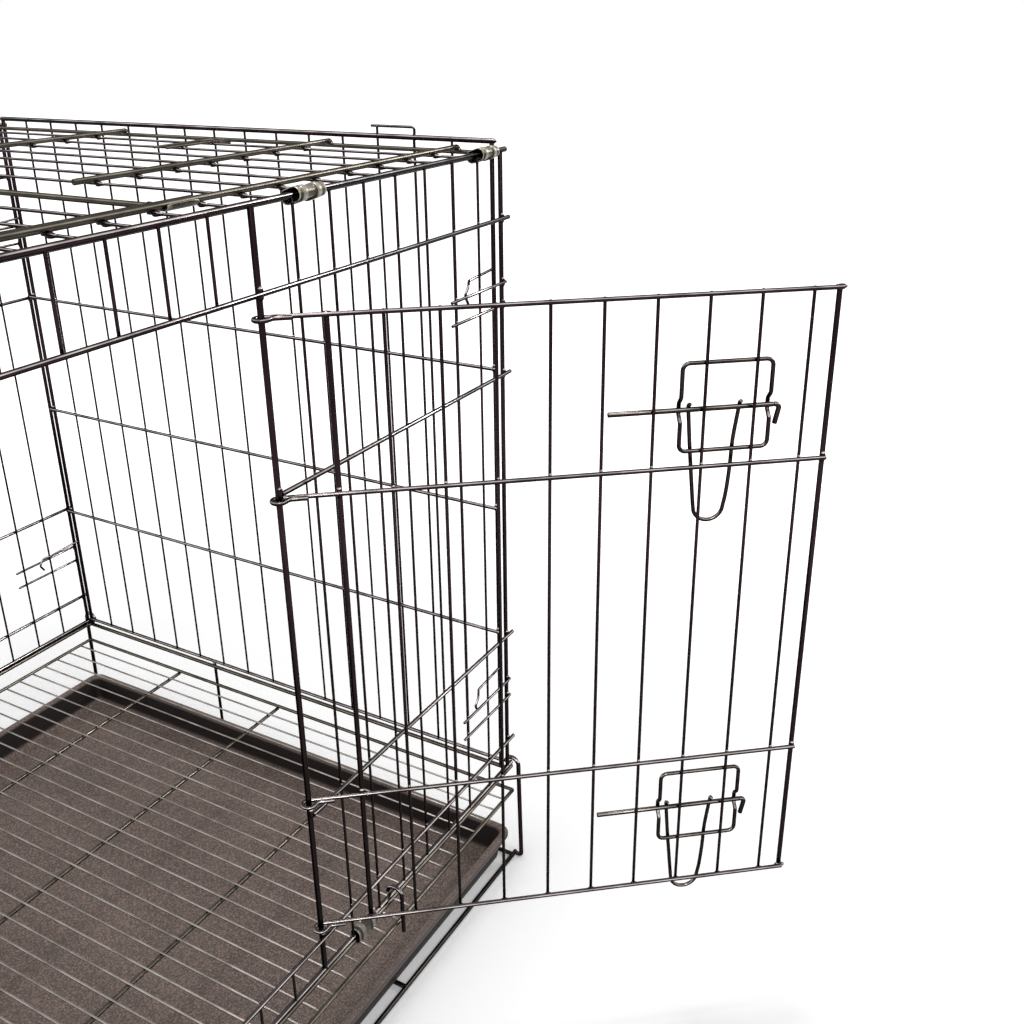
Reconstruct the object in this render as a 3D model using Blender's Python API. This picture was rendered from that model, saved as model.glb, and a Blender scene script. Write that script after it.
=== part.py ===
"""Folding wire dog crate on a raised base, with an open side door, a lid with its own door, and a drop tray.

Units are metres and +Z is up. The origin is the centre of the crate's footprint, on the floor.
X runs along the long sides, the front panel with the side door faces -Y.
"""

import math

import bmesh
import bpy
from mathutils import Matrix, Quaternion, Vector

# Wire spacing and overall counts
PITCH = 0.038
COLUMNS = 24
ROWS = 16
END_INSET = 0.0076
HINGE_COLUMN = 8
LATCH_COLUMN = 18

# Wire radii
THIN_R = 0.0011
POST_R = 0.0020
FRAME_R = 0.00225
MID_R = 0.0018
END_RAIL_R = 0.0017
LID_BORDER_R = 0.0019
LID_ROD_R = 0.0023
KEEPER_R = 0.0013
HOOK_R = 0.0012
GRID_WIRE_R = 0.0010
GRID_BORDER_R = 0.0019
GRID_ROD_R = 0.0020
DOOR_THIN_R = 0.00125
DOOR_ROD_R = 0.0017
BOLT_R = 0.0019
LATCH_FRAME_R = 0.0016
HANDLE_R = 0.0015
CATCH_R = 0.0014
LEG_R = 0.00225
UPRIGHT_R = 0.0018

# Clearance between neighbouring pieces, how far welded wires sink into each other, and mesh settings
GAP = 0.0003
WELD = 0.00045
MERGE = 0.00001
SHARP_ANGLE = math.radians(70)

# Heights above the floor, and drops below the top rod or rises over it
TOP_ROD_Z = 0.7315
HEADER_Z = TOP_ROD_Z - 0.0547
UPPER_RAIL_Z = TOP_ROD_Z - 0.1900
LOWER_RAIL_Z = 0.2755
SILL_Z = 0.1527
BASE_ROD_Z = 0.1129
FLOOR_GRID_Z = 0.0874
END_TOP_Z = TOP_ROD_Z + 0.0068
END_BOTTOM_Z = 0.1227
END_RAIL_ZS = (END_TOP_Z - 0.1938, 0.4093, 0.2766)
LOOP_RISE = 0.0084
UPPER_KEEPER_Z = TOP_ROD_Z - 0.1087
LOWER_KEEPER_Z = 0.2238
KEEPER_SPACING = 0.0190
LID_DROP = 0.0023
TRAY_RIM_Z = 0.0380

# Lengths along the panels
ROD_OVERHANG = 0.0087
RAIL_OVERHANG = 0.0076
KEEPER_LENGTH = 0.0878
KEEPER_OVERHANG = 0.0023
END_RAIL_OVERHANG = 0.0025
LOOP_OVERHANG = 0.0068
LOOP_ROWS = (2, 3)

# Spring hooks, as distance in from the corner post and rise over the keeper
HOOK_BEND = 0.0040
HOOK_ROOT_RISE = 0.0105
HOOK_ARM = (0.0410, 0.0080)
HOOK_SHOULDER = (0.0500, 0.0060)
HOOK_NOSE = (0.0560, -0.0010)
HOOK_TIP = (0.0510, -0.0085)

# Lid
LID_FIRST_WIRE = 0.0426
LID_BORDER_SETBACK = 0.0065
LID_END_SETBACK = 0.0050
LID_ROD_YS = (0.0380, 0.1710, 0.4256)
LID_ROD_END = 0.0030
LID_DOOR_FIRST_WIRE = 7
LID_DOOR_LAST_WIRE = 17
STUB_OVERLAP = 0.0038
CLIP_COLUMNS = (0, 6, 17, 23)
CLIP_MARGIN = 0.0009
CLIP_WALL = 0.0010
CLIP_CLEARANCE = 0.00035
COLLAR_RISE = 0.0009
COLLAR_LENGTH = 0.0085
HAIRPIN_Y = (0.2755, 0.2907)
HAIRPIN_X = (0.0342, 0.0988)
HAIRPIN_R = 0.0012
HAIRPIN_BEND = 0.0060

# Lid door
TOP_DOOR_NEAR = 0.0057
TOP_DOOR_FAR = 0.3762
TOP_DOOR_NEAR_X = (0.3078, 0.6859)
TOP_DOOR_SIDE_X = (0.3420, 0.6460)
TOP_DOOR_CLIP_X = (0.3116, 0.6536)
TOP_DOOR_CLIP_LENGTH = 0.0266
HINGE_CLIP_BACK = math.radians(20)
HINGE_CLIP_LIP = math.radians(165)
HINGE_CLIP_OUT = 0.0012
TOP_DOOR_RAIL = 0.1824
TOP_BOLT_X = 0.5176
TOP_BOLT_TIP = 0.0060

# Side door, in its own directions: S from the hinge to the free edge, N outward, Z up
DOOR_OPEN_DEG = 128.98
DOOR_PITCH = 0.03662
DOOR_FIRST_S = 0.00392
DOOR_WIRES = 10
DOOR_EDGE_S = 0.3884
DOOR_ROD_ZS = (HEADER_Z - 0.0166, UPPER_RAIL_Z - 0.0060, LOWER_RAIL_Z + 0.0080, SILL_Z + 0.0079)
DOOR_ROD_END_S = 0.3900
DOOR_WIRE_OVERHANG = 0.0012
EYE_CLEARANCE = 0.0008
EYE_OFFSET = 0.0022
EYE_RETURN = 0.0194

# Latches, along S and down from the bolt
LATCH_FRAME_S = (0.2806, 0.3461)
LATCH_FRAME_UP = 0.0342
LATCH_FRAME_DOWN = 0.0309
LATCH_FRAME_CORNER = 0.0050
BOW_HALF = 0.0050
BOLT_START_S = 0.2284
BOLT_END_S = 0.3491
BOLT_TIP_DROP = 0.0147
BOLT_TIP_BEND = 0.0030
BOLT_TIP_LEAD = 0.0015
BOLT_TIP_LEAN = 0.0030
HANDLE_TOP_S = (0.2877, 0.3252)
HANDLE_CROSSING_S = (0.2899, 0.3213)
HANDLE_LOW_S = (0.2949, 0.3177)
HANDLE_DROP = 0.0875
HANDLE_STANDOFF = 0.0004
HANDLE_KNEE = 0.0060
HANDLE_HOOK_START = math.radians(85)
UPPER_BOLT_Z = DOOR_ROD_ZS[1] + 0.0414
LOWER_BOLT_Z = DOOR_ROD_ZS[2] - 0.0515
CATCH_S = 0.3625
CATCH_UP = 0.0080
CATCH_DOWN = 0.0210
CATCH_OUT = 0.0165
CATCH_BEND = 0.0035
TOP_CATCH_HALF = 0.0065
TOP_CATCH_BEND = 0.0025

# Base
BASE_END_OFFSET = 0.0023
GRID_BORDER_OUT = 0.0049
GRID_ROD_YS = (0.1547, 0.3116, 0.4693)
GRID_WIRE_START = 0.0156
GRID_WIRE_SPACING = 0.0190
LOWER_ROD_OUT = 0.0042
CROSSBAR_XS = (0.2014, 0.4560, 0.7106)
HOOK_IN = 0.0052
HOOK_OUT = 0.0096
LEG_X_OUT = 0.0060
LEG_SPLAY = 0.0029
FOOT_BEND = 0.0030
UPRIGHT_X = 0.2071
UPRIGHT_BOTTOM_Z = 0.0779
END_UPRIGHT_Y = 0.4104

# Tray
TRAY_LEG_GAP = 0.0006
TRAY_RIM_OUT = 0.0039
TRAY_RIM_WIDTH = 0.0085
TRAY_WALL = 0.0022
TRAY_CORNER = 0.0045

# Derived places
HEX = 1 / math.cos(math.pi / 6)
OCT = 1 / math.cos(math.pi / 8)
HALF_LENGTH = COLUMNS * PITCH / 2
HALF_WIDTH = ROWS * PITCH / 2 + END_INSET
PANEL_BOTTOM_Z = BASE_ROD_Z + 2 * FRAME_R + GAP
LID_Z = TOP_ROD_Z - LID_DROP
LID_ROD_Z = LID_Z + THIN_R + LID_ROD_R + GAP
HINGE_X = HALF_LENGTH - HINGE_COLUMN * PITCH
LATCH_X = HALF_LENGTH - LATCH_COLUMN * PITCH
EYE_RADIUS = FRAME_R + EYE_CLEARANCE + DOOR_ROD_R
DOOR_THIN_N = EYE_RADIUS + DOOR_ROD_R + DOOR_THIN_R - WELD
DOOR_THICK_N = EYE_RADIUS + DOOR_ROD_R + POST_R - WELD
DOOR_SURFACE_N = DOOR_THIN_N + DOOR_THIN_R
DOOR_ANGLE = math.radians(DOOR_OPEN_DEG)
HINGE_Y = -HALF_WIDTH + LID_ROD_YS[0]

BLACK_WIRE = ("black_wire", (0.045, 0.032, 0.026), 0.30, 0.85)
FRAME_WIRE = ("frame_wire", (0.105, 0.090, 0.075), 0.32, 0.85)
CLIP_METAL = ("clip_metal", (0.16, 0.14, 0.11), 0.38, 0.80)
TRAY_PLASTIC = ("tray_plastic", (0.075, 0.060, 0.050), 0.60, 0.0)


def remove_start_objects():
    for obj in list(bpy.data.objects):
        bpy.data.objects.remove(obj, do_unlink=True)


def make_collection(name):
    collection = bpy.data.collections.new(name)
    bpy.context.scene.collection.children.link(collection)
    return collection


remove_start_objects()
CRATE = make_collection("wire_dog_crate")
CUTTERS = make_collection("weld_operands")


def paint(obj, finish):
    """Give the object its own Principled material."""
    kind, colour, roughness, metallic = finish
    material = bpy.data.materials.new(f"{kind}_{obj.name}")
    material.use_nodes = True
    shader = material.node_tree.nodes["Principled BSDF"]
    shader.inputs["Base Color"].default_value = (*colour, 1.0)
    shader.inputs["Roughness"].default_value = roughness
    shader.inputs["Metallic"].default_value = metallic
    obj.data.materials.clear()
    obj.data.materials.append(material)


def link(name, data, collection, finish=None):
    obj = bpy.data.objects.new(name, data)
    collection.objects.link(obj)
    if finish:
        paint(obj, finish)
    else:
        obj.hide_render = True
        obj.display_type = "WIRE"
    return obj


def add_rod(bm, start, end, radius, flat):
    """Add a six-sided rod whose flats lie at the wire's radius, two of them facing along flat."""
    start = Vector(start)
    end = Vector(end)
    along = (end - start).normalized()
    flat = Vector(flat)
    flat = (flat - along * flat.dot(along)).normalized()
    side = along.cross(flat)
    turn = Matrix((flat, side, along)).transposed().to_4x4()
    place = Matrix.Translation((start + end) / 2) @ turn
    bmesh.ops.create_cone(
        bm, cap_ends=True, segments=6, radius1=radius * HEX, radius2=radius * HEX,
        depth=(end - start).length, matrix=place)


def rods_mesh(name, rods):
    """Make one mesh of rods, each given as start, end, radius and flat direction."""
    bm = bmesh.new()
    for start, end, radius, flat in rods:
        add_rod(bm, start, end, radius, flat)
    mesh = bpy.data.meshes.new(name)
    bm.to_mesh(mesh)
    bm.free()
    return mesh


def weld_on(obj, operand):
    """Join a second set of rods to the object."""
    union = obj.modifiers.new("weld", "BOOLEAN")
    union.operation = "UNION"
    union.solver = "EXACT"
    union.object = operand


def grid(name, first, second, finish):
    """Weld two sets of rods, each set free of itself, into one panel."""
    obj = link(name, rods_mesh(name, first), CRATE, finish)
    weld_on(obj, link(f"{name}_cross", rods_mesh(f"{name}_cross", second), CUTTERS))
    return obj


def single_rod(name, start, end, radius, flat, finish):
    return link(name, rods_mesh(name, [(start, end, radius, flat)]), CRATE, finish)


def round_path(points, bend, steps=3):
    """Return the points of a polyline with its inner corners turned into arcs of one bend radius."""
    points = [Vector(point) for point in points]
    path = [points[0]]
    for before, corner, after in zip(points, points[1:], points[2:]):
        to_before = (before - corner).normalized()
        to_after = (after - corner).normalized()
        half = to_before.angle(to_after) / 2
        reach = bend / math.tan(half)
        middle = (to_before + to_after).normalized()
        centre = corner + middle * (bend / math.sin(half))
        begin = corner + to_before * reach - centre
        finish = corner + to_after * reach - centre
        axis = begin.cross(finish)
        turn = begin.angle(finish)
        for step in range(steps + 1):
            path.append(centre + Quaternion(axis, turn * step / steps) @ begin)
    path.append(points[-1])
    return path


def wire_curve(name, points, radius, closed=False):
    """Make an eight-sided wire along the points, its flats at the wire's radius."""
    curve = bpy.data.curves.new(name, "CURVE")
    curve.dimensions = "3D"
    curve.bevel_depth = radius * OCT
    curve.bevel_resolution = 2
    curve.use_fill_caps = not closed
    spline = curve.splines.new("POLY")
    spline.points.add(len(points) - 1)
    for target, point in zip(spline.points, points):
        target.co = (*point, 1.0)
    spline.use_cyclic_u = closed
    return curve


def wire(name, points, radius, finish, closed=False):
    return link(name, wire_curve(name, points, radius, closed), CRATE, finish)


def as_mesh(name, data):
    """Turn curve data into a mesh with welded caps."""
    source = link(f"{name}_source", data, CUTTERS)
    graph = bpy.context.evaluated_depsgraph_get()
    mesh = bpy.data.meshes.new_from_object(source.evaluated_get(graph))
    mesh.name = name
    bm = bmesh.new()
    bm.from_mesh(mesh)
    bmesh.ops.remove_doubles(bm, verts=bm.verts, dist=MERGE)
    bm.to_mesh(mesh)
    bm.free()
    bpy.data.objects.remove(source, do_unlink=True)
    return mesh


def join_meshes(name, meshes):
    bm = bmesh.new()
    for mesh in meshes:
        bm.from_mesh(mesh)
    joined = bpy.data.meshes.new(name)
    bm.to_mesh(joined)
    bm.free()
    return joined


def smooth(collection):
    """Shade the rods round while their cut ends stay flat."""
    for obj in collection.objects:
        if obj.type == "MESH":
            obj.data.shade_smooth()
            obj.data.set_sharp_from_angle(angle=SHARP_ANGLE)


def add_pivot(name, place, parent, pieces):
    """Hang the pieces, which are already in place, from an empty on their joint's axis."""
    pivot = bpy.data.objects.new(name, None)
    CRATE.objects.link(pivot)
    pivot.location = place
    if parent:
        pivot.parent = parent
        pivot.matrix_parent_inverse = Matrix.Translation(-world_place(parent))
    for piece in pieces:
        piece.parent = pivot
        piece.matrix_parent_inverse = Matrix.Translation(-Vector(place))
    return pivot


def world_place(pivot):
    """Return where a pivot stands; every pivot's own location is written in world coordinates."""
    return pivot.location.copy()


def column_x(column):
    return HALF_LENGTH - column * PITCH


def row_y(row):
    return -ROWS * PITCH / 2 + row * PITCH


def long_panel_parts(side, openings):
    """Return the uprights and the long rods that a front or back panel shares; side is -1 or 1."""
    plane = side * HALF_WIDTH
    facing = (0, side, 0)
    uprights = []
    for column in range(COLUMNS + 1):
        thick = column in (0, COLUMNS)
        if openings and HINGE_COLUMN <= column <= LATCH_COLUMN:
            continue
        x = column_x(column)
        radius = POST_R if thick else THIN_R
        uprights.append(((x, plane, PANEL_BOTTOM_Z), (x, plane, TOP_ROD_Z), radius, facing))
    reach = HALF_LENGTH + ROD_OVERHANG
    rods = []
    for z in (PANEL_BOTTOM_Z, TOP_ROD_Z):
        rods.append(((-reach, plane, z), (reach, plane, z), FRAME_R, (0, 0, 1)))
    return uprights, rods


def keeper_rods(side):
    """Return the paired straight keeper wires near each upright edge of a long panel."""
    y = side * (HALF_WIDTH + THIN_R + KEEPER_R * HEX + GAP)
    rods = []
    for hand in (-1, 1):
        for top in (UPPER_KEEPER_Z, LOWER_KEEPER_Z):
            for z in (top, top - KEEPER_SPACING):
                inner = hand * (HALF_LENGTH + KEEPER_OVERHANG - KEEPER_LENGTH)
                outer = hand * (HALF_LENGTH + KEEPER_OVERHANG)
                low, high = sorted((inner, outer))
                rods.append(((low, y, z), (high, y, z), KEEPER_R, (0, 0, 1)))
    return rods


def rail_y(side):
    return side * (HALF_WIDTH + THIN_R + MID_R * HEX + GAP)


def build_front_panel():
    plane = -HALF_WIDTH
    facing = (0, 1, 0)
    uprights, rods = long_panel_parts(-1, True)
    uprights.append(((HINGE_X, plane, PANEL_BOTTOM_Z), (HINGE_X, plane, TOP_ROD_Z), FRAME_R, facing))
    uprights.append(((LATCH_X, plane, PANEL_BOTTOM_Z), (LATCH_X, plane, TOP_ROD_Z), POST_R, facing))
    for column in range(HINGE_COLUMN + 1, LATCH_COLUMN):
        x = column_x(column)
        uprights.append(((x, plane, HEADER_Z - MID_R), (x, plane, TOP_ROD_Z), THIN_R, facing))
        uprights.append(((x, plane, PANEL_BOTTOM_Z), (x, plane, SILL_Z + MID_R), THIN_R, facing))
    y = rail_y(-1)
    reach = HALF_LENGTH + RAIL_OVERHANG
    for z in (HEADER_Z, SILL_Z):
        rods.append(((-reach, y, z), (reach, y, z), MID_R, (0, 0, 1)))
    for z in (UPPER_RAIL_Z, LOWER_RAIL_Z):
        rods.append(((HINGE_X, y, z), (reach, y, z), MID_R, (0, 0, 1)))
        rods.append(((-reach, y, z), (LATCH_X, y, z), MID_R, (0, 0, 1)))
    return grid("front_panel", uprights, rods + keeper_rods(-1), BLACK_WIRE)


def build_back_panel():
    uprights, rods = long_panel_parts(1, False)
    y = rail_y(1)
    reach = HALF_LENGTH + RAIL_OVERHANG
    for z in (HEADER_Z, UPPER_RAIL_Z, LOWER_RAIL_Z, SILL_Z):
        rods.append(((-reach, y, z), (reach, y, z), MID_R, (0, 0, 1)))
    return grid("back_panel", uprights, rods + keeper_rods(1), BLACK_WIRE)


def build_end_panel(name, hand):
    """Build one end grid; the wire loop on its top rod stands over the third and fourth uprights."""
    x = hand * HALF_LENGTH
    loop_z = END_TOP_Z + LOOP_RISE
    base_rod_top = BASE_ROD_Z + FRAME_R
    uprights = []
    for row in range(ROWS + 1):
        y = row_y(row)
        corner = row in (0, ROWS)
        radius = POST_R if corner else THIN_R
        bottom = base_rod_top + 2 * GAP if corner else END_BOTTOM_Z
        top = loop_z if row in LOOP_ROWS else END_TOP_Z
        uprights.append(((x, y, bottom), (x, y, top), radius, (1, 0, 0)))
    reach = ROWS * PITCH / 2 + END_RAIL_OVERHANG
    inner_x = x - hand * (THIN_R + END_RAIL_R * HEX + GAP)
    rods = [((x, -reach, END_TOP_Z), (x, reach, END_TOP_Z), FRAME_R, (0, 0, 1)),
            ((x, -reach, END_BOTTOM_Z), (x, reach, END_BOTTOM_Z), LID_BORDER_R, (0, 0, 1)),
            ((x, row_y(LOOP_ROWS[0]) - THIN_R, loop_z), (x, row_y(LOOP_ROWS[-1]) + LOOP_OVERHANG, loop_z),
             THIN_R * HEX, (0, 0, 1))]
    for z in END_RAIL_ZS:
        rods.append(((inner_x, -reach, z), (inner_x, reach, z), END_RAIL_R, (0, 0, 1)))
    return grid(name, uprights, rods, BLACK_WIRE)


def build_hooks():
    """Build the spring hooks that reach from each end panel's posts behind the keeper wires."""
    tip_side = THIN_R + HOOK_R * OCT + GAP
    for hand, end in ((1, "right"), (-1, "left")):
        for side, face in ((-1, "front"), (1, "back")):
            for level, keeper in (("upper", UPPER_KEEPER_Z), ("lower", LOWER_KEEPER_Z)):
                root = (POST_R * HEX + GAP, HOOK_ROOT_RISE)
                shape = ((END_INSET, root), (END_INSET, HOOK_ARM), (tip_side, HOOK_SHOULDER),
                         (tip_side, HOOK_NOSE), (tip_side, HOOK_TIP))
                points = []
                for depth, (inward, rise) in shape:
                    x = hand * (HALF_LENGTH - inward)
                    y = side * (HALF_WIDTH - depth)
                    points.append((x, y, keeper + rise))
                path = round_path(points, HOOK_BEND, 1)
                wire(f"{end}_{face}_{level}_hook", path, HOOK_R, BLACK_WIRE)


def lid_wire_x(index):
    return HALF_LENGTH - LID_FIRST_WIRE - index * PITCH


def build_lid():
    near = -HALF_WIDTH + LID_BORDER_SETBACK
    far = HALF_WIDTH - LID_BORDER_SETBACK
    end = HALF_LENGTH - LID_END_SETBACK
    up = (0, 0, 1)
    first_rod, second_rod, third_rod = (-HALF_WIDTH + y for y in LID_ROD_YS)
    lengthwise = []
    index = 0
    while lid_wire_x(index) > -end + PITCH / 2:
        x = lid_wire_x(index)
        if LID_DOOR_FIRST_WIRE <= index <= LID_DOOR_LAST_WIRE:
            lengthwise.append(((x, near, LID_Z), (x, first_rod + STUB_OVERLAP, LID_Z), THIN_R, up))
            stub_start = HINGE_Y + TOP_DOOR_FAR - STUB_OVERLAP
            lengthwise.append(((x, stub_start, LID_Z), (x, far, LID_Z), THIN_R, up))
        else:
            lengthwise.append(((x, near, LID_Z), (x, far, LID_Z), THIN_R, up))
        index += 1
    for x in (-end, end):
        lengthwise.append(((x, near, LID_Z), (x, far, LID_Z), LID_BORDER_R, up))
    border_reach = end + LID_BORDER_R * HEX
    rod_reach = HALF_LENGTH - LID_ROD_END
    cross = []
    for y in (near, far):
        cross.append(((-border_reach, y, LID_Z), (border_reach, y, LID_Z), LID_BORDER_R, up))
    for y in (first_rod, third_rod):
        cross.append(((-rod_reach, y, LID_ROD_Z), (rod_reach, y, LID_ROD_Z), LID_ROD_R, up))
    right_stop = lid_wire_x(LID_DOOR_FIRST_WIRE) + PITCH / 2
    left_stop = lid_wire_x(LID_DOOR_LAST_WIRE) - PITCH / 2
    cross.append(((right_stop, second_rod, LID_ROD_Z), (rod_reach, second_rod, LID_ROD_Z), LID_ROD_R, up))
    cross.append(((-rod_reach, second_rod, LID_ROD_Z), (left_stop, second_rod, LID_ROD_Z), LID_ROD_R, up))
    return grid("lid_panel", lengthwise, cross, BLACK_WIRE)


def stadium(centre_a, centre_b, radius, steps=4):
    """Return the outline round two circles of one radius, in the (Y, Z) plane, its flats at the radius."""
    centre_a = Vector(centre_a)
    centre_b = Vector(centre_b)
    heading = math.atan2(centre_b.y - centre_a.y, centre_b.x - centre_a.x)
    radius /= math.cos(math.pi / 2 / steps)
    outline = []
    for centre, start in ((centre_b, heading - math.pi / 2), (centre_a, heading + math.pi / 2)):
        for step in range(steps + 1):
            angle = start + math.pi * step / steps
            outline.append((centre.x + radius * math.cos(angle), centre.y + radius * math.sin(angle)))
    return outline


def sheet_mesh(name, outlines, low_x, high_x):
    """Make a sheet form along X from closed outlines in the (Y, Z) plane; a second one inside is its bore."""
    curve = bpy.data.curves.new(name, "CURVE")
    curve.dimensions = "2D"
    curve.fill_mode = "BOTH"
    curve.extrude = (high_x - low_x) / 2
    for outline in outlines:
        spline = curve.splines.new("POLY")
        spline.points.add(len(outline) - 1)
        for target, (y, z) in zip(spline.points, outline):
            target.co = (y, z, 0.0, 1.0)
        spline.use_cyclic_u = True
    mesh = as_mesh(name, curve)
    stand = Matrix(((0, 0, 1, (high_x + low_x) / 2), (1, 0, 0, 0), (0, 1, 0, 0), (0, 0, 0, 1)))
    mesh.transform(stand)
    return mesh


def build_clip(name, centre_a, centre_b, bore, low_x, length):
    """Build a sheet clip round two rods along X: a neck with a raised collar at each end."""
    high_x = low_x + length
    inner = stadium(centre_a, centre_b, bore)
    neck_wall = stadium(centre_a, centre_b, bore + CLIP_WALL)
    collar_inner = stadium(centre_a, centre_b, bore + CLIP_WALL / 2)
    collar_wall = stadium(centre_a, centre_b, bore + CLIP_WALL + COLLAR_RISE)
    neck = sheet_mesh(name, (neck_wall, inner), low_x, high_x)
    collar_inset = CLIP_WALL / 2
    collars = []
    for start in (low_x + collar_inset, high_x - collar_inset - COLLAR_LENGTH):
        ring = (collar_wall, collar_inner)
        collars.append(sheet_mesh(f"{name}_collar", ring, start, start + COLLAR_LENGTH))
    clip = link(name, neck, CRATE, CLIP_METAL)
    weld_on(clip, link(f"{name}_collars", join_meshes(f"{name}_collars", collars), CUTTERS))
    return clip


def clip_span(column):
    """Return the low X and the length of a clip that fits between the wires past one column."""
    border_edge = LID_END_SETBACK + LID_BORDER_R * HEX
    start = column * PITCH + LID_FIRST_WIRE - PITCH + THIN_R * HEX
    stop = (column + 1) * PITCH - POST_R * HEX
    if column == 0:
        start = border_edge
    if column == COLUMNS - 1:
        stop = COLUMNS * PITCH - border_edge
    length = stop - start - 2 * CLIP_MARGIN
    return HALF_LENGTH - stop + CLIP_MARGIN, length


def build_lid_clips():
    rod = (-HALF_WIDTH, TOP_ROD_Z)
    border = (-HALF_WIDTH + LID_BORDER_SETBACK, LID_Z)
    bore = FRAME_R * HEX + CLIP_CLEARANCE
    names = ("right_outer", "right_inner", "left_inner", "left_outer")
    for name, column in zip(names, CLIP_COLUMNS):
        build_clip(f"lid_clip_{name}", rod, border, bore, *clip_span(column))


def build_bottom_clips():
    bore = FRAME_R * HEX + CLIP_CLEARANCE
    for face, side in (("front", -1), ("back", 1)):
        plane = side * HALF_WIDTH
        for half, column in (("right", CLIP_COLUMNS[1]), ("left", CLIP_COLUMNS[2])):
            ends = ((plane, BASE_ROD_Z), (plane, PANEL_BOTTOM_Z))
            build_clip(f"{face}_{half}_bottom_clip", *ends, bore, *clip_span(column))


def build_hairpins():
    """Build the hairpin wire that lies on the lid near each end, its bend over the end border."""
    z = LID_Z + THIN_R + HAIRPIN_R * OCT + GAP
    near, far = (-HALF_WIDTH + y for y in HAIRPIN_Y)
    for half, hand in (("right", 1), ("left", -1)):
        inner = hand * (HALF_LENGTH - HAIRPIN_X[1])
        outer = hand * (HALF_LENGTH - HAIRPIN_X[0])
        points = ((inner, near, z), (outer, near, z), (outer, far, z), (inner, far, z))
        wire(f"{half}_lid_hairpin", round_path(points, HAIRPIN_BEND), HAIRPIN_R, FRAME_WIRE)


def hinge_clip_outline(near, z):
    """Return the outline of a strip bent from behind the door's bar, under the lid rod, to a front lip."""
    bore = LID_ROD_R * HEX + CLIP_CLEARANCE
    steps = 5
    bottom = -math.pi / 2
    outline = []
    for radius in (bore + CLIP_WALL, bore):
        side = []
        for step in range(steps + 1):
            angle = HINGE_CLIP_BACK + (bottom - HINGE_CLIP_BACK) * step / steps
            side.append((near + radius * math.cos(angle), z + radius * math.sin(angle)))
        for step in range(steps + 1):
            angle = bottom + (HINGE_CLIP_LIP - 2 * math.pi - bottom) * step / steps
            side.append((HINGE_Y - HINGE_CLIP_OUT + radius * math.cos(angle), z + radius * math.sin(angle)))
        outline += side if radius > bore else side[::-1]
    return outline


def build_top_door():
    up = (0, 0, 1)
    near = HINGE_Y + TOP_DOOR_NEAR
    far = HINGE_Y + TOP_DOOR_FAR
    right, left = (HALF_LENGTH - x for x in TOP_DOOR_SIDE_X)
    z = LID_ROD_Z
    lengthwise = []
    for x in (left, right):
        lengthwise.append(((x, near, z), (x, far, z), POST_R, up))
    index = LID_DOOR_FIRST_WIRE
    while lid_wire_x(index) > left + PITCH / 2:
        x = lid_wire_x(index)
        if x < right - PITCH / 2:
            lengthwise.append(((x, near, z), (x, far, z), THIN_R, up))
        index += 1
    near_right, near_left = (HALF_LENGTH - x for x in TOP_DOOR_NEAR_X)
    reach = POST_R * HEX
    rail_z = z + THIN_R + END_RAIL_R + GAP
    rail = HINGE_Y + TOP_DOOR_RAIL
    cross = [((near_left, near, z), (near_right, near, z), POST_R, up),
             ((left - reach, far, z), (right + reach, far, z), POST_R, up),
             ((left - reach, rail, rail_z), (right + reach, rail, rail_z), END_RAIL_R, up)]
    grid("top_door", lengthwise, cross, BLACK_WIRE)
    outline = hinge_clip_outline(near, z)
    for half, inset in zip(("right", "left"), TOP_DOOR_CLIP_X):
        name = f"top_door_clip_{half}"
        high_x = HALF_LENGTH - inset
        link(name, sheet_mesh(name, (outline,), high_x - TOP_DOOR_CLIP_LENGTH, high_x), CRATE, CLIP_METAL)


def side_door_point(s, n, z):
    """Return the world point at s along the open side door, n out of it, at height z."""
    along = Vector((-math.cos(DOOR_ANGLE), -math.sin(DOOR_ANGLE), 0))
    outward = Vector((math.sin(DOOR_ANGLE), -math.cos(DOOR_ANGLE), 0))
    return Vector((HINGE_X, -HALF_WIDTH, z)) + along * s + outward * n


def eye_rod_points(z):
    """Return the path of a door rod that bends round the hinge rod like a hairpin and comes back inside."""
    steps = 6
    points = [side_door_point(DOOR_ROD_END_S, EYE_RADIUS, z)]
    for step in range(steps + 1):
        angle = math.pi * step / steps
        s = -EYE_OFFSET - EYE_RADIUS * math.sin(angle)
        n = EYE_RADIUS * math.cos(angle)
        points.append(side_door_point(s, n, z))
    points.append(side_door_point(EYE_RETURN, -EYE_RADIUS, z))
    return points


def build_side_door():
    outward = side_door_point(0, 1, 0) - side_door_point(0, 0, 0)
    low = DOOR_ROD_ZS[-1] - DOOR_WIRE_OVERHANG
    high = DOOR_ROD_ZS[0] + DOOR_WIRE_OVERHANG
    uprights = []
    for index in range(1, DOOR_WIRES + 1):
        s = DOOR_FIRST_S + index * DOOR_PITCH
        thick = index == 1
        radius = POST_R if thick else DOOR_THIN_R
        n = DOOR_THICK_N if thick else DOOR_THIN_N
        uprights.append((side_door_point(s, n, low), side_door_point(s, n, high), radius, outward))
    edge_low = side_door_point(DOOR_EDGE_S, DOOR_THICK_N, low)
    edge_high = side_door_point(DOOR_EDGE_S, DOOR_THICK_N, high)
    uprights.append((edge_low, edge_high, POST_R, outward))
    door = link("side_door", rods_mesh("side_door", uprights), CRATE, BLACK_WIRE)
    rods = []
    for index, z in enumerate(DOOR_ROD_ZS):
        curve = wire_curve(f"door_rod_{index}", eye_rod_points(z), DOOR_ROD_R)
        rods.append(as_mesh(f"door_rod_{index}", curve))
    weld_on(door, link("side_door_rods", join_meshes("side_door_rods", rods), CUTTERS))
    return door


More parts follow.
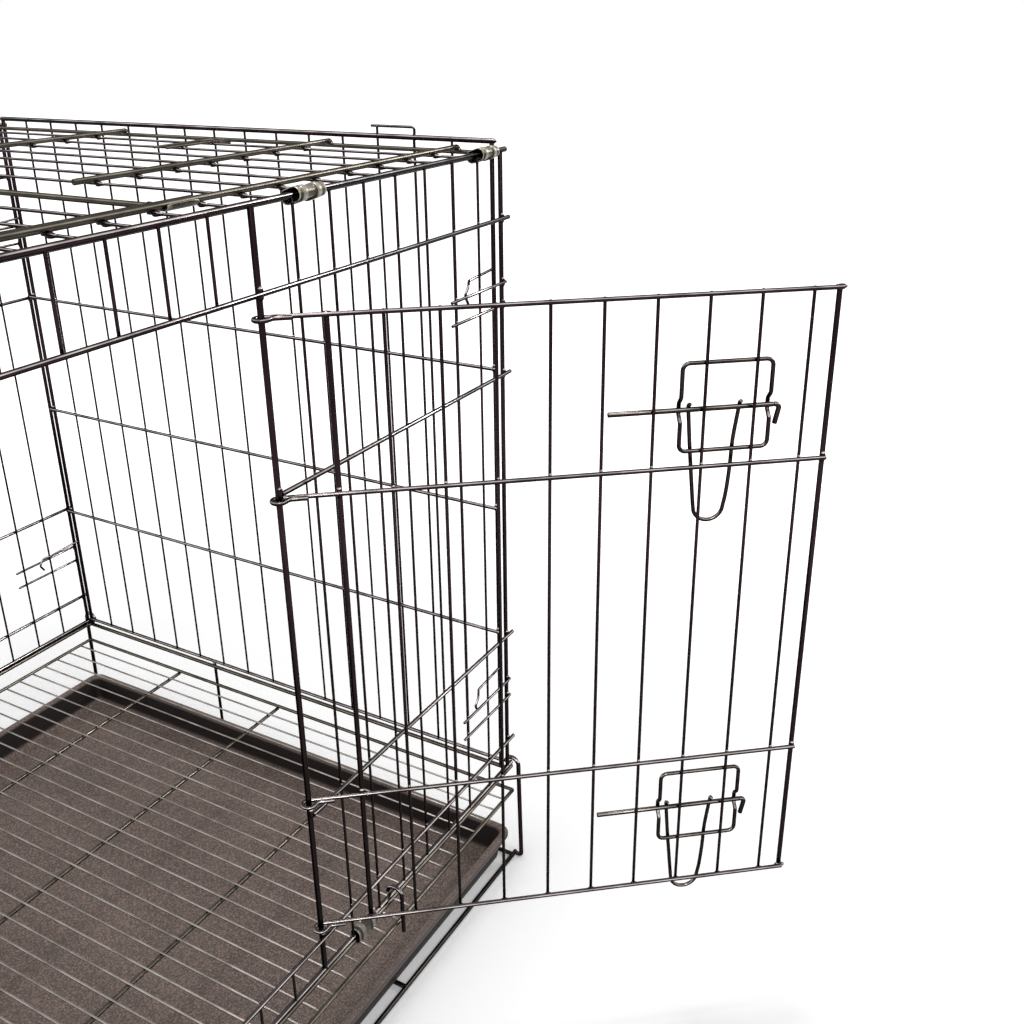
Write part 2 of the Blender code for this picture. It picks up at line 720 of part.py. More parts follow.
def latch_levels(surface_n):
    """Return how far out the bolt, the latch frame, its bowed sides and the handle lie."""
    bolt = surface_n + GAP + BOLT_R * HEX
    frame = surface_n + GAP + LATCH_FRAME_R * OCT
    bow = bolt + BOLT_R * HEX + GAP + LATCH_FRAME_R * OCT
    handle = frame + LATCH_FRAME_R * OCT + HANDLE_STANDOFF + HANDLE_R * OCT
    return bolt, frame, bow, handle


def latch_frame_points(point, bolt_t, frame_n, bow_n, shift):
    """Return a closed rectangle whose two sides bow outward over the bolt."""
    left, right = (s + shift for s in LATCH_FRAME_S)
    high = bolt_t + LATCH_FRAME_UP
    low = bolt_t - LATCH_FRAME_DOWN
    corner = LATCH_FRAME_CORNER
    steps = 2
    points = []
    for s, sign in ((left, -1), (right, 1)):
        inner = s - sign * corner
        side = []
        for step in range(steps + 1):
            angle = math.pi / 2 * step / steps
            along = inner + sign * corner * math.sin(angle)
            side.append((along, low + corner - corner * math.cos(angle), frame_n))
        ramp = bow_n - frame_n
        side.append((s, bolt_t - BOW_HALF - ramp, frame_n))
        side.append((s, bolt_t - BOW_HALF, bow_n))
        side.append((s, bolt_t + BOW_HALF, bow_n))
        side.append((s, bolt_t + BOW_HALF + ramp, frame_n))
        for step in range(steps + 1):
            angle = math.pi / 2 * step / steps
            along = inner + sign * corner * math.cos(angle)
            side.append((along, high - corner + corner * math.sin(angle), frame_n))
        points += side if sign > 0 else side[::-1]
    return [point(s, n, t) for s, t, n in points]


def handle_points(point, bolt_t, bolt_n, handle_n, shift):
    """Return the tapering U handle's path; its legs hook over the bolt and hang outside the latch frame."""
    reach = BOLT_R * HEX + GAP + HANDLE_R * OCT
    low_left, low_right = (s + shift for s in HANDLE_LOW_S)
    curve_radius = (low_right - low_left) / 2
    curve_t = bolt_t - HANDLE_DROP + curve_radius
    knee_t = bolt_t - LATCH_FRAME_DOWN + HANDLE_KNEE
    steps = 6
    legs = []
    for top_s, crossing_s, low_s in zip(HANDLE_TOP_S, HANDLE_CROSSING_S, HANDLE_LOW_S):
        leg = []
        for step in range(steps - 1):
            angle = HANDLE_HOOK_START * (1 - step / (steps - 2))
            leg.append((top_s + shift, bolt_t + reach * math.sin(angle), bolt_n + reach * math.cos(angle)))
        leg.append((crossing_s + shift, knee_t, handle_n))
        leg.append((low_s + shift, curve_t, handle_n))
        legs.append(leg)
    middle = (low_left + low_right) / 2
    bend = []
    for step in range(1, steps):
        angle = math.pi * step / steps
        s = middle - curve_radius * math.cos(angle)
        bend.append((s, curve_t - curve_radius * math.sin(angle), handle_n))
    return [point(s, n, t) for s, t, n in legs[0] + bend + legs[1][::-1]]


def build_side_latch(level, bolt_z):
    bolt_n, frame_n, bow_n, handle_n = latch_levels(DOOR_SURFACE_N)
    frame = latch_frame_points(side_door_point, bolt_z, frame_n, bow_n, 0.0)
    wire(f"{level}_latch_frame", frame, LATCH_FRAME_R, FRAME_WIRE, closed=True)
    start = side_door_point(BOLT_START_S, bolt_n, bolt_z)
    end = side_door_point(BOLT_END_S, bolt_n, bolt_z)
    single_rod(f"{level}_bolt", start, end, BOLT_R, (0, 0, 1), FRAME_WIRE)
    handle = handle_points(side_door_point, bolt_z, bolt_n, handle_n, 0.0)
    wire(f"{level}_latch_handle", handle, HANDLE_R, FRAME_WIRE)
    tip_s = BOLT_END_S + GAP
    corner_s = tip_s + BOLT_TIP_BEND + BOLT_TIP_LEAD
    corner = side_door_point(corner_s, bolt_n, bolt_z)
    tip_start = side_door_point(tip_s, bolt_n, bolt_z)
    tip_end = side_door_point(corner_s - BOLT_TIP_LEAN, bolt_n, bolt_z - BOLT_TIP_DROP)
    wire(f"{level}_bolt_tip", round_path((tip_start, corner, tip_end), BOLT_TIP_BEND), BOLT_R, FRAME_WIRE)


def build_side_catch(level, bolt_z):
    """Build the wire staple on the latch post that the bolt slides through when the door is shut."""
    root_x = LATCH_X + POST_R * HEX + GAP
    x = HINGE_X - CATCH_S
    high = bolt_z + CATCH_UP
    low = bolt_z - CATCH_DOWN
    plane = -HALF_WIDTH
    out = plane - CATCH_OUT
    points = ((root_x, plane, high), (x, plane, high), (x, out, high),
              (x, out, low), (x, plane, low), (root_x, plane, low))
    wire(f"{level}_catch", round_path(points, CATCH_BEND), CATCH_R, FRAME_WIRE)


def top_door_point(s, n, t):
    """Return the world point at s from the lid door's hinge, n above its wires, t along X."""
    return Vector((t, HINGE_Y + s, LID_ROD_Z + n))


def build_top_latch():
    """Build the lid door's latch: a straight bolt that slides over the lid rod, under a staple."""
    bolt_x = HALF_LENGTH - TOP_BOLT_X
    _, frame_n, _, handle_n = latch_levels(THIN_R)
    bolt_n = LID_ROD_R + GAP + BOLT_R * HEX
    bow_n = bolt_n + BOLT_R * HEX + GAP + LATCH_FRAME_R * OCT
    shift = TOP_DOOR_FAR - DOOR_EDGE_S
    frame = latch_frame_points(top_door_point, bolt_x, frame_n, bow_n, shift)
    wire("top_latch_frame", frame, LATCH_FRAME_R, FRAME_WIRE, closed=True)
    start = top_door_point(BOLT_START_S + shift, bolt_n, bolt_x)
    end = top_door_point(TOP_DOOR_FAR + TOP_BOLT_TIP, bolt_n, bolt_x)
    single_rod("top_bolt", start, end, BOLT_R, (0, 0, 1), FRAME_WIRE)
    handle = handle_points(top_door_point, bolt_x, bolt_n, handle_n, shift)
    wire("top_latch_handle", handle, HANDLE_R, FRAME_WIRE)
    y = -HALF_WIDTH + LID_ROD_YS[2]
    foot = LID_ROD_Z + LID_ROD_R + GAP
    crown = LID_ROD_Z + bolt_n + BOLT_R * HEX + GAP + CATCH_R * OCT + GAP
    low_x = bolt_x - TOP_CATCH_HALF
    high_x = bolt_x + TOP_CATCH_HALF
    points = ((low_x, y, foot), (low_x, y, crown), (high_x, y, crown), (high_x, y, foot))
    wire("top_catch", round_path(points, TOP_CATCH_BEND), CATCH_R, FRAME_WIRE)


def build_base_rods():
    up = (0, 0, 1)
    reach = HALF_LENGTH + ROD_OVERHANG
    for face, side in (("front", -1), ("back", 1)):
        y = side * HALF_WIDTH
        ends = ((-reach, y, BASE_ROD_Z), (reach, y, BASE_ROD_Z))
        single_rod(f"base_{face}_rod", *ends, FRAME_R, up, BLACK_WIRE)
    end_y = HALF_WIDTH - FRAME_R * HEX - GAP
    for end, hand in (("right", 1), ("left", -1)):
        x = hand * (HALF_LENGTH + BASE_END_OFFSET)
        ends = ((x, -end_y, BASE_ROD_Z), (x, end_y, BASE_ROD_Z))
        single_rod(f"base_{end}_rod", *ends, FRAME_R, up, BLACK_WIRE)


def build_floor_grid():
    up = (0, 0, 1)
    border = HALF_WIDTH + GRID_BORDER_OUT
    end = HALF_LENGTH + BASE_END_OFFSET
    z = FLOOR_GRID_Z
    lengthwise = []
    x = HALF_LENGTH - GRID_WIRE_START
    while x > -end + GRID_WIRE_SPACING / 2:
        lengthwise.append(((x, -border, z), (x, border, z), GRID_WIRE_R, up))
        x -= GRID_WIRE_SPACING
    for x in (-end, end):
        lengthwise.append(((x, -border, z), (x, border, z), GRID_BORDER_R, up))
    reach = end + GRID_BORDER_R * HEX
    rod_z = z - GRID_WIRE_R - GRID_ROD_R - GAP
    cross = []
    for y in (-border, border):
        cross.append(((-reach, y, z), (reach, y, z), GRID_BORDER_R, up))
    for y in GRID_ROD_YS:
        cross.append(((-reach, y - HALF_WIDTH, rod_z), (reach, y - HALF_WIDTH, rod_z), GRID_ROD_R, up))
    return grid("floor_grid", lengthwise, cross, BLACK_WIRE)


def build_lower_frame():
    up = (0, 0, 1)
    z = FRAME_R
    y = HALF_WIDTH + LOWER_ROD_OUT
    end = HALF_LENGTH + BASE_END_OFFSET
    reach = HALF_LENGTH + ROD_OVERHANG
    long_rods = [((-reach, side * y, z), (reach, side * y, z), FRAME_R, up) for side in (-1, 1)]
    places = [-end, end] + [HALF_LENGTH - x for x in CROSSBAR_XS]
    bars = [((x, -y, z), (x, y, z), FRAME_R, up) for x in places]
    return grid("lower_frame", bars, long_rods, BLACK_WIRE)


def hook_points(x, side):
    """Return an arc over the panel's bottom rod and the base rod, from inside to outside."""
    radius = (HOOK_IN + HOOK_OUT) / 2
    centre = HALF_WIDTH + (HOOK_OUT - HOOK_IN) / 2
    steps = 5
    points = []
    for step in range(steps + 1):
        angle = math.pi * step / steps
        y = centre - radius * math.cos(angle)
        points.append((x, side * y, PANEL_BOTTOM_Z + radius * math.sin(angle)))
    return points


def build_legs():
    foot_z = LEG_R * OCT + GAP / 2
    outer_y = HALF_WIDTH + HOOK_OUT
    foot_y = outer_y + LEG_SPLAY
    tip_y = HALF_WIDTH + LOWER_ROD_OUT + FRAME_R * HEX + GAP
    for end, hand in (("right", 1), ("left", -1)):
        for face, side in (("front", -1), ("back", 1)):
            x = hand * (HALF_LENGTH + LEG_X_OUT)
            lower = ((x, side * outer_y, PANEL_BOTTOM_Z), (x, side * foot_y, foot_z),
                     (x, side * tip_y, foot_z))
            path = hook_points(x, side) + round_path(lower, FOOT_BEND)[1:]
            wire(f"{end}_{face}_leg", path, LEG_R, BLACK_WIRE)


def build_uprights():
    for half, hand in (("right", 1), ("left", -1)):
        x = hand * (HALF_LENGTH - UPRIGHT_X)
        for face, side in (("front", -1), ("back", 1)):
            end = (x, side * (HALF_WIDTH + HOOK_OUT), UPRIGHT_BOTTOM_Z)
            wire(f"{face}_{half}_upright", hook_points(x, side) + [end], UPRIGHT_R, BLACK_WIRE)
        outer = HALF_LENGTH + BASE_END_OFFSET + FRAME_R * HEX + GAP + UPRIGHT_R
        y = -HALF_WIDTH + END_UPRIGHT_Y
        top = BASE_ROD_Z + FRAME_R
        single_rod(f"{half}_end_upright", (hand * outer, y, GAP), (hand * outer, y, top), UPRIGHT_R,
                   (1, 0, 0), BLACK_WIRE)


def rounded_rectangle(half_x, half_y, corner, steps=5):
    outline = []
    for sign_x, sign_y, start in ((1, 1, 0), (-1, 1, 90), (-1, -1, 180), (1, -1, 270)):
        centre_x = sign_x * (half_x - corner)
        centre_y = sign_y * (half_y - corner)
        for step in range(steps + 1):
            angle = math.radians(start + 90 * step / steps)
            outline.append((centre_x + corner * math.cos(angle), centre_y + corner * math.sin(angle)))
    return outline


def plate_mesh(name, outlines, low_z, high_z):
    curve = bpy.data.curves.new(name, "CURVE")
    curve.dimensions = "2D"
    curve.fill_mode = "BOTH"
    curve.extrude = (high_z - low_z) / 2
    for outline in outlines:
        spline = curve.splines.new("POLY")
        spline.points.add(len(outline) - 1)
        for target, (x, y) in zip(spline.points, outline):
            target.co = (x, y, 0.0, 1.0)
        spline.use_cyclic_u = True
    mesh = as_mesh(name, curve)
    mesh.transform(Matrix.Translation((0, 0, (low_z + high_z) / 2)))
    return mesh


def build_tray():
    """Build the shallow drop tray with a flat rim; it slides on the lower frame's crossbars."""
    half_x = HALF_LENGTH + LEG_X_OUT - LEG_R * HEX - TRAY_LEG_GAP
    half_y = HALF_WIDTH + TRAY_RIM_OUT
    wall_x = half_x - TRAY_RIM_WIDTH + TRAY_WALL
    wall_y = half_y - TRAY_RIM_WIDTH + TRAY_WALL
    bottom = 2 * FRAME_R + GAP
    corner = TRAY_CORNER
    rim = rounded_rectangle(half_x, half_y, corner + TRAY_RIM_WIDTH)
    outer = rounded_rectangle(wall_x, wall_y, corner)
    inner = rounded_rectangle(wall_x - TRAY_WALL, wall_y - TRAY_WALL, corner - TRAY_WALL)
    pan = link("tray", plate_mesh("tray", [outer], bottom, TRAY_RIM_Z - TRAY_WALL / 2), CRATE, TRAY_PLASTIC)
    rim_plate = plate_mesh("tray_rim", [rim], TRAY_RIM_Z - TRAY_WALL, TRAY_RIM_Z)
    weld_on(pan, link("tray_rim", rim_plate, CUTTERS))
    hollow = plate_mesh("tray_hollow", [inner], bottom + TRAY_WALL, TRAY_RIM_Z + TRAY_WALL)
    cut = pan.modifiers.new("hollow", "BOOLEAN")
    cut.operation = "DIFFERENCE"
    cut.solver = "EXACT"
    cut.object = link("tray_hollow", hollow, CUTTERS)
    return pan


def named(*names):
    return [CRATE.objects[name] for name in names]


def hang_moving_pieces():
    """Put each moving piece on its joint: the side door, the lid and its door, the bolts and the tray."""
    lid_clips = [f"lid_clip_{name}" for name in ("right_outer", "right_inner", "left_inner", "left_outer")]
    lid_pieces = named("lid_panel", "right_lid_hairpin", "left_lid_hairpin", "top_catch", *lid_clips)
    lid = add_pivot("lid_pivot", (0, -HALF_WIDTH, TOP_ROD_Z), None, lid_pieces)
    bolt_n = latch_levels(DOOR_SURFACE_N)[0]
    door_frames = named("side_door", "upper_latch_frame", "lower_latch_frame")
    door = add_pivot("side_door_pivot", side_door_point(0, 0, UPPER_BOLT_Z), None, door_frames)
    middle_s = (HANDLE_TOP_S[0] + HANDLE_TOP_S[1]) / 2
    for level, bolt_z in (("upper", UPPER_BOLT_Z), ("lower", LOWER_BOLT_Z)):
        place = side_door_point(middle_s, bolt_n, bolt_z)
        slide = add_pivot(f"{level}_bolt_slide", place, door, named(f"{level}_bolt"))
        add_pivot(f"{level}_handle_pivot", place, slide, named(f"{level}_latch_handle", f"{level}_bolt_tip"))
    clips = ("top_door_clip_right", "top_door_clip_left")
    lid_door = named("top_door", "top_latch_frame", *clips)
    top_door = add_pivot("top_door_pivot", (0, HINGE_Y, LID_ROD_Z), lid, lid_door)
    top_place = top_door_point(middle_s, LID_ROD_R + GAP + BOLT_R * HEX, HALF_LENGTH - TOP_BOLT_X)
    slide = add_pivot("top_bolt_slide", top_place, top_door, named("top_bolt"))
    add_pivot("top_handle_pivot", top_place, slide, named("top_latch_handle"))
    add_pivot("tray_slide", (0, 0, TRAY_RIM_Z), None, named("tray"))


def build_crate():
    build_front_panel()
    build_back_panel()
    build_end_panel("right_end_panel", 1)
    build_end_panel("left_end_panel", -1)
    build_hooks()
    build_lid()
    build_lid_clips()
    build_bottom_clips()
    build_hairpins()
    build_top_door()
    build_top_latch()
    build_side_door()
    for level, bolt_z in (("upper", UPPER_BOLT_Z), ("lower", LOWER_BOLT_Z)):
        build_side_latch(level, bolt_z)
        build_side_catch(level, bolt_z)
    build_base_rods()
    build_floor_grid()
    build_lower_frame()
    build_legs()
    build_uprights()
    build_tray()
    hang_moving_pieces()
    smooth(CRATE)
    smooth(CUTTERS)


build_crate()
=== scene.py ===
"""Looks of a folding wire dog crate: coated round wires, weld beads, sheet clips, latches and a moulded tray.

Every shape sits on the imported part's frame. Units are metres. X runs along the long sides, -Y is the front.
"""

import math

import bmesh
import bpy
from mathutils import Matrix, Quaternion, Vector


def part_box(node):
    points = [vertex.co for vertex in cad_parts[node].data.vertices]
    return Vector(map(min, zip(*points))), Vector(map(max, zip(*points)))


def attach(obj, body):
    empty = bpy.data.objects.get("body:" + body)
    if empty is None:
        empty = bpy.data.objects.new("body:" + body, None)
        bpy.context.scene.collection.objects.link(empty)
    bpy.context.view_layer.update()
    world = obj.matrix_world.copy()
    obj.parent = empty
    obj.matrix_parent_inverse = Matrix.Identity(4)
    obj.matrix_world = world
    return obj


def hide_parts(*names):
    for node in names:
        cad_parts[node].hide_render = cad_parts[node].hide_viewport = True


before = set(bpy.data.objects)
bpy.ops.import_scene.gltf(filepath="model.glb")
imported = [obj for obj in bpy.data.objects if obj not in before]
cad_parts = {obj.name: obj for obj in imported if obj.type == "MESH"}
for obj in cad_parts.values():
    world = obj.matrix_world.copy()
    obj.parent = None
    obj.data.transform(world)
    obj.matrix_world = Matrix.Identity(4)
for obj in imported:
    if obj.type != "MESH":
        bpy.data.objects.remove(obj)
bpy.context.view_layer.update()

# Wire spacing and overall counts
PITCH = 0.038
COLUMNS = 24
ROWS = 16
HINGE_COLUMN = 8
LATCH_COLUMN = 18

# Wire radii
THIN_R = 0.0011
POST_R = 0.0020
FRAME_R = 0.00225
MID_R = 0.0018
END_RAIL_R = 0.0017
LID_BORDER_R = 0.0019
LID_ROD_R = 0.0023
KEEPER_R = 0.0013
HOOK_R = 0.0012
GRID_WIRE_R = 0.0010
GRID_BORDER_R = 0.0019
GRID_ROD_R = 0.0020
DOOR_THIN_R = 0.00125
DOOR_ROD_R = 0.0017
BOLT_R = 0.0019
LATCH_FRAME_R = 0.0016
HANDLE_R = 0.0015
CATCH_R = 0.0014
LEG_R = 0.00225
UPRIGHT_R = 0.0018
HAIRPIN_R = 0.0012

# How far welded wires sink into each other, and the clearance between pieces
SINK = 0.0002
GAP = 0.0003

# Weld beads: the widest gap they bridge, their size and place, and their points as reach and radius share
BEAD_REACH = 0.0012
BEAD_LENGTH = 2.2
BEAD_SWELL = 1.02
BEAD_PLACE = 0.75
BEAD_SHAPE = ((-1.0, 0.35), (-0.62, 0.86), (0.0, 1.0), (0.62, 0.86), (1.0, 0.35))

# Below the first value two wires count as parallel, and they cross up to the second value past their ends
PARALLEL = 1e-12
END_SLACK = 0.01

# A wire's cut end, as reach and radius share
END_DOME = ((0.0, 0.80), (0.08, 0.93), (0.22, 1.0))

# Steps of a bend, roundness of plain and fine wires, and the distance at which doubled points merge
CORNER_STEPS = 7
BEVEL = 4
FINE_BEVEL = 6
MERGE_DISTANCE = 0.000004

# The solids' wires are six-sided rods round the real wire; their corners lie at this share of its radius
SOLID_CORNER = 2 / math.sqrt(3)

# Heights above the floor
TOP_ROD_Z = 0.7315
HEADER_Z = TOP_ROD_Z - 0.0547
UPPER_RAIL_Z = TOP_ROD_Z - 0.1900
LOWER_RAIL_Z = 0.2755
SILL_Z = 0.1527
BASE_ROD_Z = 0.1129
PANEL_BOTTOM_Z = BASE_ROD_Z + 2 * FRAME_R + GAP
FLOOR_GRID_Z = 0.0874
END_TOP_Z = TOP_ROD_Z + 0.0068
END_BOTTOM_Z = 0.1227
END_RAIL_ZS = (END_TOP_Z - 0.1938, 0.4093, 0.2766)
LOOP_Z = END_TOP_Z + 0.0084
KEEPER_ZS = (TOP_ROD_Z - 0.1087, 0.2238)
KEEPER_SPACING = 0.0190
LID_Z = TOP_ROD_Z - 0.0023
LID_ROD_Z = LID_Z + THIN_R + LID_ROD_R + GAP

# Lengths along the panels
HALF_LENGTH = COLUMNS * PITCH / 2
ROW_HALF = ROWS * PITCH / 2
END_INSET = 0.0076
HALF_WIDTH = ROW_HALF + END_INSET
ROD_OVERHANG = 0.0087
RAIL_OVERHANG = 0.0076
KEEPER_LENGTH = 0.0878
KEEPER_OVERHANG = 0.0023
END_RAIL_OVERHANG = 0.0025
LOOP_OVERHANG = 0.0068
LOOP_ROWS = (2, 3)
LOOP_KNEE = 0.0040
LOOP_BEND = 0.0022
LOOP_R = THIN_R * 1.1
HINGE_X = HALF_LENGTH - HINGE_COLUMN * PITCH
LATCH_X = HALF_LENGTH - LATCH_COLUMN * PITCH

# Spring hooks, as points inward from the corner, behind the long panel's plane and above the keeper wire
HOOK_TIP_DEPTH = THIN_R + HOOK_R + GAP
HOOK_SHAPE = ((0.0020, END_INSET, 0.0105), (0.0410, END_INSET, 0.0080), (0.0500, HOOK_TIP_DEPTH, 0.0060),
              (0.0560, HOOK_TIP_DEPTH, -0.0010), (0.0510, HOOK_TIP_DEPTH, -0.0085))
HOOK_BEND = 0.0042

# Lid
LID_FIRST_WIRE = 0.0426
LID_WIRES = 23
LID_BORDER_SETBACK = 0.0065
LID_END_SETBACK = 0.0050
LID_CORNER = 0.0052
LID_ROD_YS = (0.0380, 0.1710, 0.4256)
LID_ROD_END = 0.0030
LID_ROD_KNEE = 0.0014
LID_ROD_TIP = 0.0006
LID_ROD_DIP = 0.0052
LID_ROD_BEND = 0.0024
LID_DOOR_WIRES = (7, 17)
STUB_OVERLAP = 0.0038
HAIRPIN_Y = (0.2755, 0.2907)
HAIRPIN_X = (0.0170, 0.0988)
HAIRPIN_TAIL = 0.0120
HAIRPIN_DIP = 0.0040
HAIRPIN_BEND = 0.0050
HINGE_Y = -HALF_WIDTH + LID_ROD_YS[0]

# The flattened foot of a lid wire at a rod, as place along the wire and radius share
WELD_FOOT = ((0.0010, 0.5), (-0.0016, 1.9), (-0.0034, 1.8), (-0.0060, 1.3), (-0.0095, 0.9))

# Sheet clips: sections along X as share of the length and swell of the outline, then the lid door's clips
CLIP_SECTIONS = ((0.000, 0.0012), (0.020, 0.0016), (0.060, 0.0012), (0.100, 0.0006), (0.130, 0.0006),
                 (0.150, 0.0014), (0.175, 0.0017), (0.300, 0.0017), (0.325, 0.0013), (0.345, 0.0005),
                 (0.480, 0.0002), (0.655, 0.0003), (0.675, 0.0014), (0.700, 0.0017), (0.800, 0.0017),
                 (0.830, 0.0014), (0.850, 0.0006), (0.930, 0.0008), (0.970, 0.0011), (1.000, 0.0009))
CLIP_SLANT = 0.0030
CLIP_SHEET = 0.0007
CLIP_PLAY = 0.0006
SHEET_EDGE = 0.00018
SHEET_SHARP = math.radians(50)
HINGE_CLIP_BACK = math.radians(20)
HINGE_CLIP_LIP = math.radians(165)
HINGE_CLIP_OUT = 0.0012
HINGE_CLIP_ROOM = 0.0009
HINGE_CLIP_CORNER = 0.0030
HINGE_CLIP_CORNER_ROWS = 3
HINGE_CLIP_STEPS = 14
HINGE_CLIP_SHARES = (-1, -0.6, -0.2, 0.2, 0.6, 1)

# Lid door
TOP_DOOR_NEAR = 0.0057
TOP_DOOR_FAR = 0.3762
TOP_DOOR_NEAR_X = (0.3078, 0.6859)
TOP_DOOR_SIDE_X = (0.3420, 0.6460)
TOP_DOOR_RAIL = 0.1824
TOP_DOOR_CORNER = 0.0060
TOP_BOLT_X = 0.5176
TOP_BOLT_TIP = 0.0060

# The weld at the lid door's hinge corners, as place along and across the bar and radius share
CORNER_WELD = ((-0.0045, 0.0004, 0.4), (-0.0030, 0.0006, 0.95), (0.0, 0.0010, 1.35), (0.0022, 0.0006, 1.1),
               (0.0040, 0.0002, 0.5))

# Side door: S from the hinge to the free edge, N outward, Z up
DOOR_ANGLE = math.radians(128.98)
DOOR_PITCH = 0.03662
DOOR_FIRST_S = 0.00392
DOOR_WIRES = 10
DOOR_EDGE_S = 0.3884
DOOR_ROD_ZS = (HEADER_Z - 0.0166, UPPER_RAIL_Z - 0.0060, LOWER_RAIL_Z + 0.0080, SILL_Z + 0.0079)
DOOR_ROD_END_S = 0.3900
DOOR_WIRE_OVERHANG = 0.0012
EYE_RADIUS = FRAME_R + 0.0008 + DOOR_ROD_R
EYE_TURN = math.radians(235)
EYE_RETURN = 0.0194
EYE_BEND = 0.0040
DOOR_WELD = 0.00045
DOOR_THIN_N = EYE_RADIUS + DOOR_ROD_R + DOOR_THIN_R - DOOR_WELD
DOOR_THICK_N = EYE_RADIUS + DOOR_ROD_R + POST_R - DOOR_WELD
DOOR_SURFACE_N = DOOR_THIN_N + DOOR_THIN_R

# Latches, along S and down from the bolt
LATCH_FRAME_S = (0.2806, 0.3461)
LATCH_FRAME_UP = 0.0342
LATCH_FRAME_DOWN = 0.0309
LATCH_FRAME_CORNER = 0.0050
BOW_HALF = 0.0050
BOW_SLOPE = 1.1
BOW_EASE = 1.40
BOW_STEPS = 7
BOLT_START_S = 0.2284
BOLT_END_S = 0.3491
BOLT_TIP_DROP = 0.0147
BOLT_TIP_BEND = 0.0030
BOLT_TIP_LEAD = 0.0015
BOLT_TIP_LEAN = 0.0030
BOLT_ZS = {"upper": DOOR_ROD_ZS[1] + 0.0414, "lower": DOOR_ROD_ZS[2] - 0.0515}
HANDLE_LEFT = ((0.0, 0.2877), (0.0249, 0.2895), (0.0436, 0.2914), (0.0627, 0.2934), (0.0761, 0.2949))
HANDLE_RIGHT = ((0.0, 0.3252), (0.0249, 0.3216), (0.0460, 0.3208), (0.0650, 0.3194), (0.0761, 0.3177))
HANDLE_DROP = 0.0875
HANDLE_STANDOFF = 0.0004
HANDLE_HOOK_START = math.radians(85)
HANDLE_PLAY = 0.0002
BOLT_SEAT = 0.0006
CATCH_S = 0.3625
CATCH_UP = 0.0080
CATCH_DOWN = 0.0210
CATCH_OUT = 0.0165
CATCH_BEND = 0.0035
TOP_CATCH_HALF = 0.0065
TOP_CATCH_BEND = 0.0025

# Base
BASE_END_OFFSET = 0.0023
GRID_BORDER_OUT = 0.0049
GRID_ROD_YS = (0.1547, 0.3116, 0.4693)
GRID_WIRE_START = 0.0156
GRID_WIRE_SPACING = 0.0190
LOWER_ROD_OUT = 0.0042
CROSSBAR_XS = (0.2014, 0.4560, 0.7106)
HOOK_IN = 0.0052
HOOK_OUT = 0.0096
LEG_X_OUT = 0.0060
LEG_SPLAY = 0.0029
LEG_BEND = 0.0030
UPRIGHT_X = 0.2071
UPRIGHT_BOTTOM_Z = 0.0779
END_UPRIGHT_Y = 0.4104

# Thickness of the tray's sheet, and the angle from which its edges stay sharp
TRAY_WALL = 0.0022
TRAY_SHARP = math.radians(60)

# Directions, and the sides on which mirrored pieces lie
UP = Vector((0, 0, 1))
ALONG_X = Vector((1, 0, 0))
ENDS = (("right", 1), ("left", -1))
FACES = (("front", -1), ("back", 1))


class Look:
    """The node tree of a material or world, with a short call for each kind of node in use."""

    def __init__(self, owner):
        owner.use_nodes = True
        self.nodes = owner.node_tree.nodes
        self.links = owner.node_tree.links

    def fill(self, node, values):
        """Link a node's inputs to other nodes' outputs, or set them to numbers and RGB colours."""
        for key, value in values.items():
            socket = node.inputs[key]
            if isinstance(value, bpy.types.NodeSocket):
                self.links.new(value, socket)
            elif isinstance(value, tuple):
                socket.default_value = (*value, 1.0)
            else:
                socket.default_value = value
        return node

    def add(self, kind, values):
        return self.fill(self.nodes.new(kind), values)

    def shade(self, values):
        self.fill(self.nodes["Principled BSDF"], values)

    def coords(self, space):
        return self.nodes.new("ShaderNodeTexCoord").outputs[space]

    def noise(self, scale, detail=4.0, roughness=0.55):
        values = {"Scale": scale, "Detail": detail, "Roughness": roughness, "Vector": self.coords("Object")}
        return self.add("ShaderNodeTexNoise", values).outputs["Fac"]

    def ramp(self, source, *stops):
        """Map a value through colour stops given as position and grey or RGB."""
        node = self.add("ShaderNodeValToRGB", {"Fac": source})
        elements = node.color_ramp.elements
        while len(elements) < len(stops):
            elements.new(0.5)
        for element, (position, colour) in zip(elements, stops):
            element.position = position
            rgb = (colour,) * 3 if isinstance(colour, float) else colour
            element.color = (*rgb, 1.0)
        return node.outputs["Color"]

    def blend(self, factor, first, second, kind="MIX"):
        node = self.nodes.new("ShaderNodeMix")
        node.data_type = "RGBA"
        node.blend_type = kind
        return self.fill(node, {0: factor, 6: first, 7: second}).outputs[2]

    def map_range(self, source, low, high, to_low, to_high):
        values = {"Value": source, "From Min": low, "From Max": high, "To Min": to_low, "To Max": to_high}
        return self.add("ShaderNodeMapRange", values).outputs["Result"]

    def combine(self, operation, first, second):
        node = self.add("ShaderNodeMath", {0: first, 1: second})
        node.operation = operation
        return node.outputs[0]

    def bump(self, height, strength, distance, normal=None):
        node = self.add("ShaderNodeBump", {"Strength": strength, "Distance": distance, "Height": height})
        if normal is not None:
            self.links.new(normal, node.inputs["Normal"])
        return node.outputs["Normal"]

    def upward(self):
        """Return how far the surface faces up in its own space: 1 on top, 0 on walls."""
        return self.add("ShaderNodeSeparateXYZ", {0: self.coords("Normal")}).outputs["Z"]

    def edges(self):
        return self.nodes.new("ShaderNodeNewGeometry").outputs["Pointiness"]

    def seen_directly(self):
        """Return 1 for camera, glossy and transmission rays, and 0 for the rays that light the object."""
        path = self.nodes.new("ShaderNodeLightPath")
        total = path.outputs["Is Camera Ray"]
        for kind in ("Is Glossy Ray", "Is Transmission Ray"):
            total = self.combine("MAXIMUM", total, path.outputs[kind])
        return total


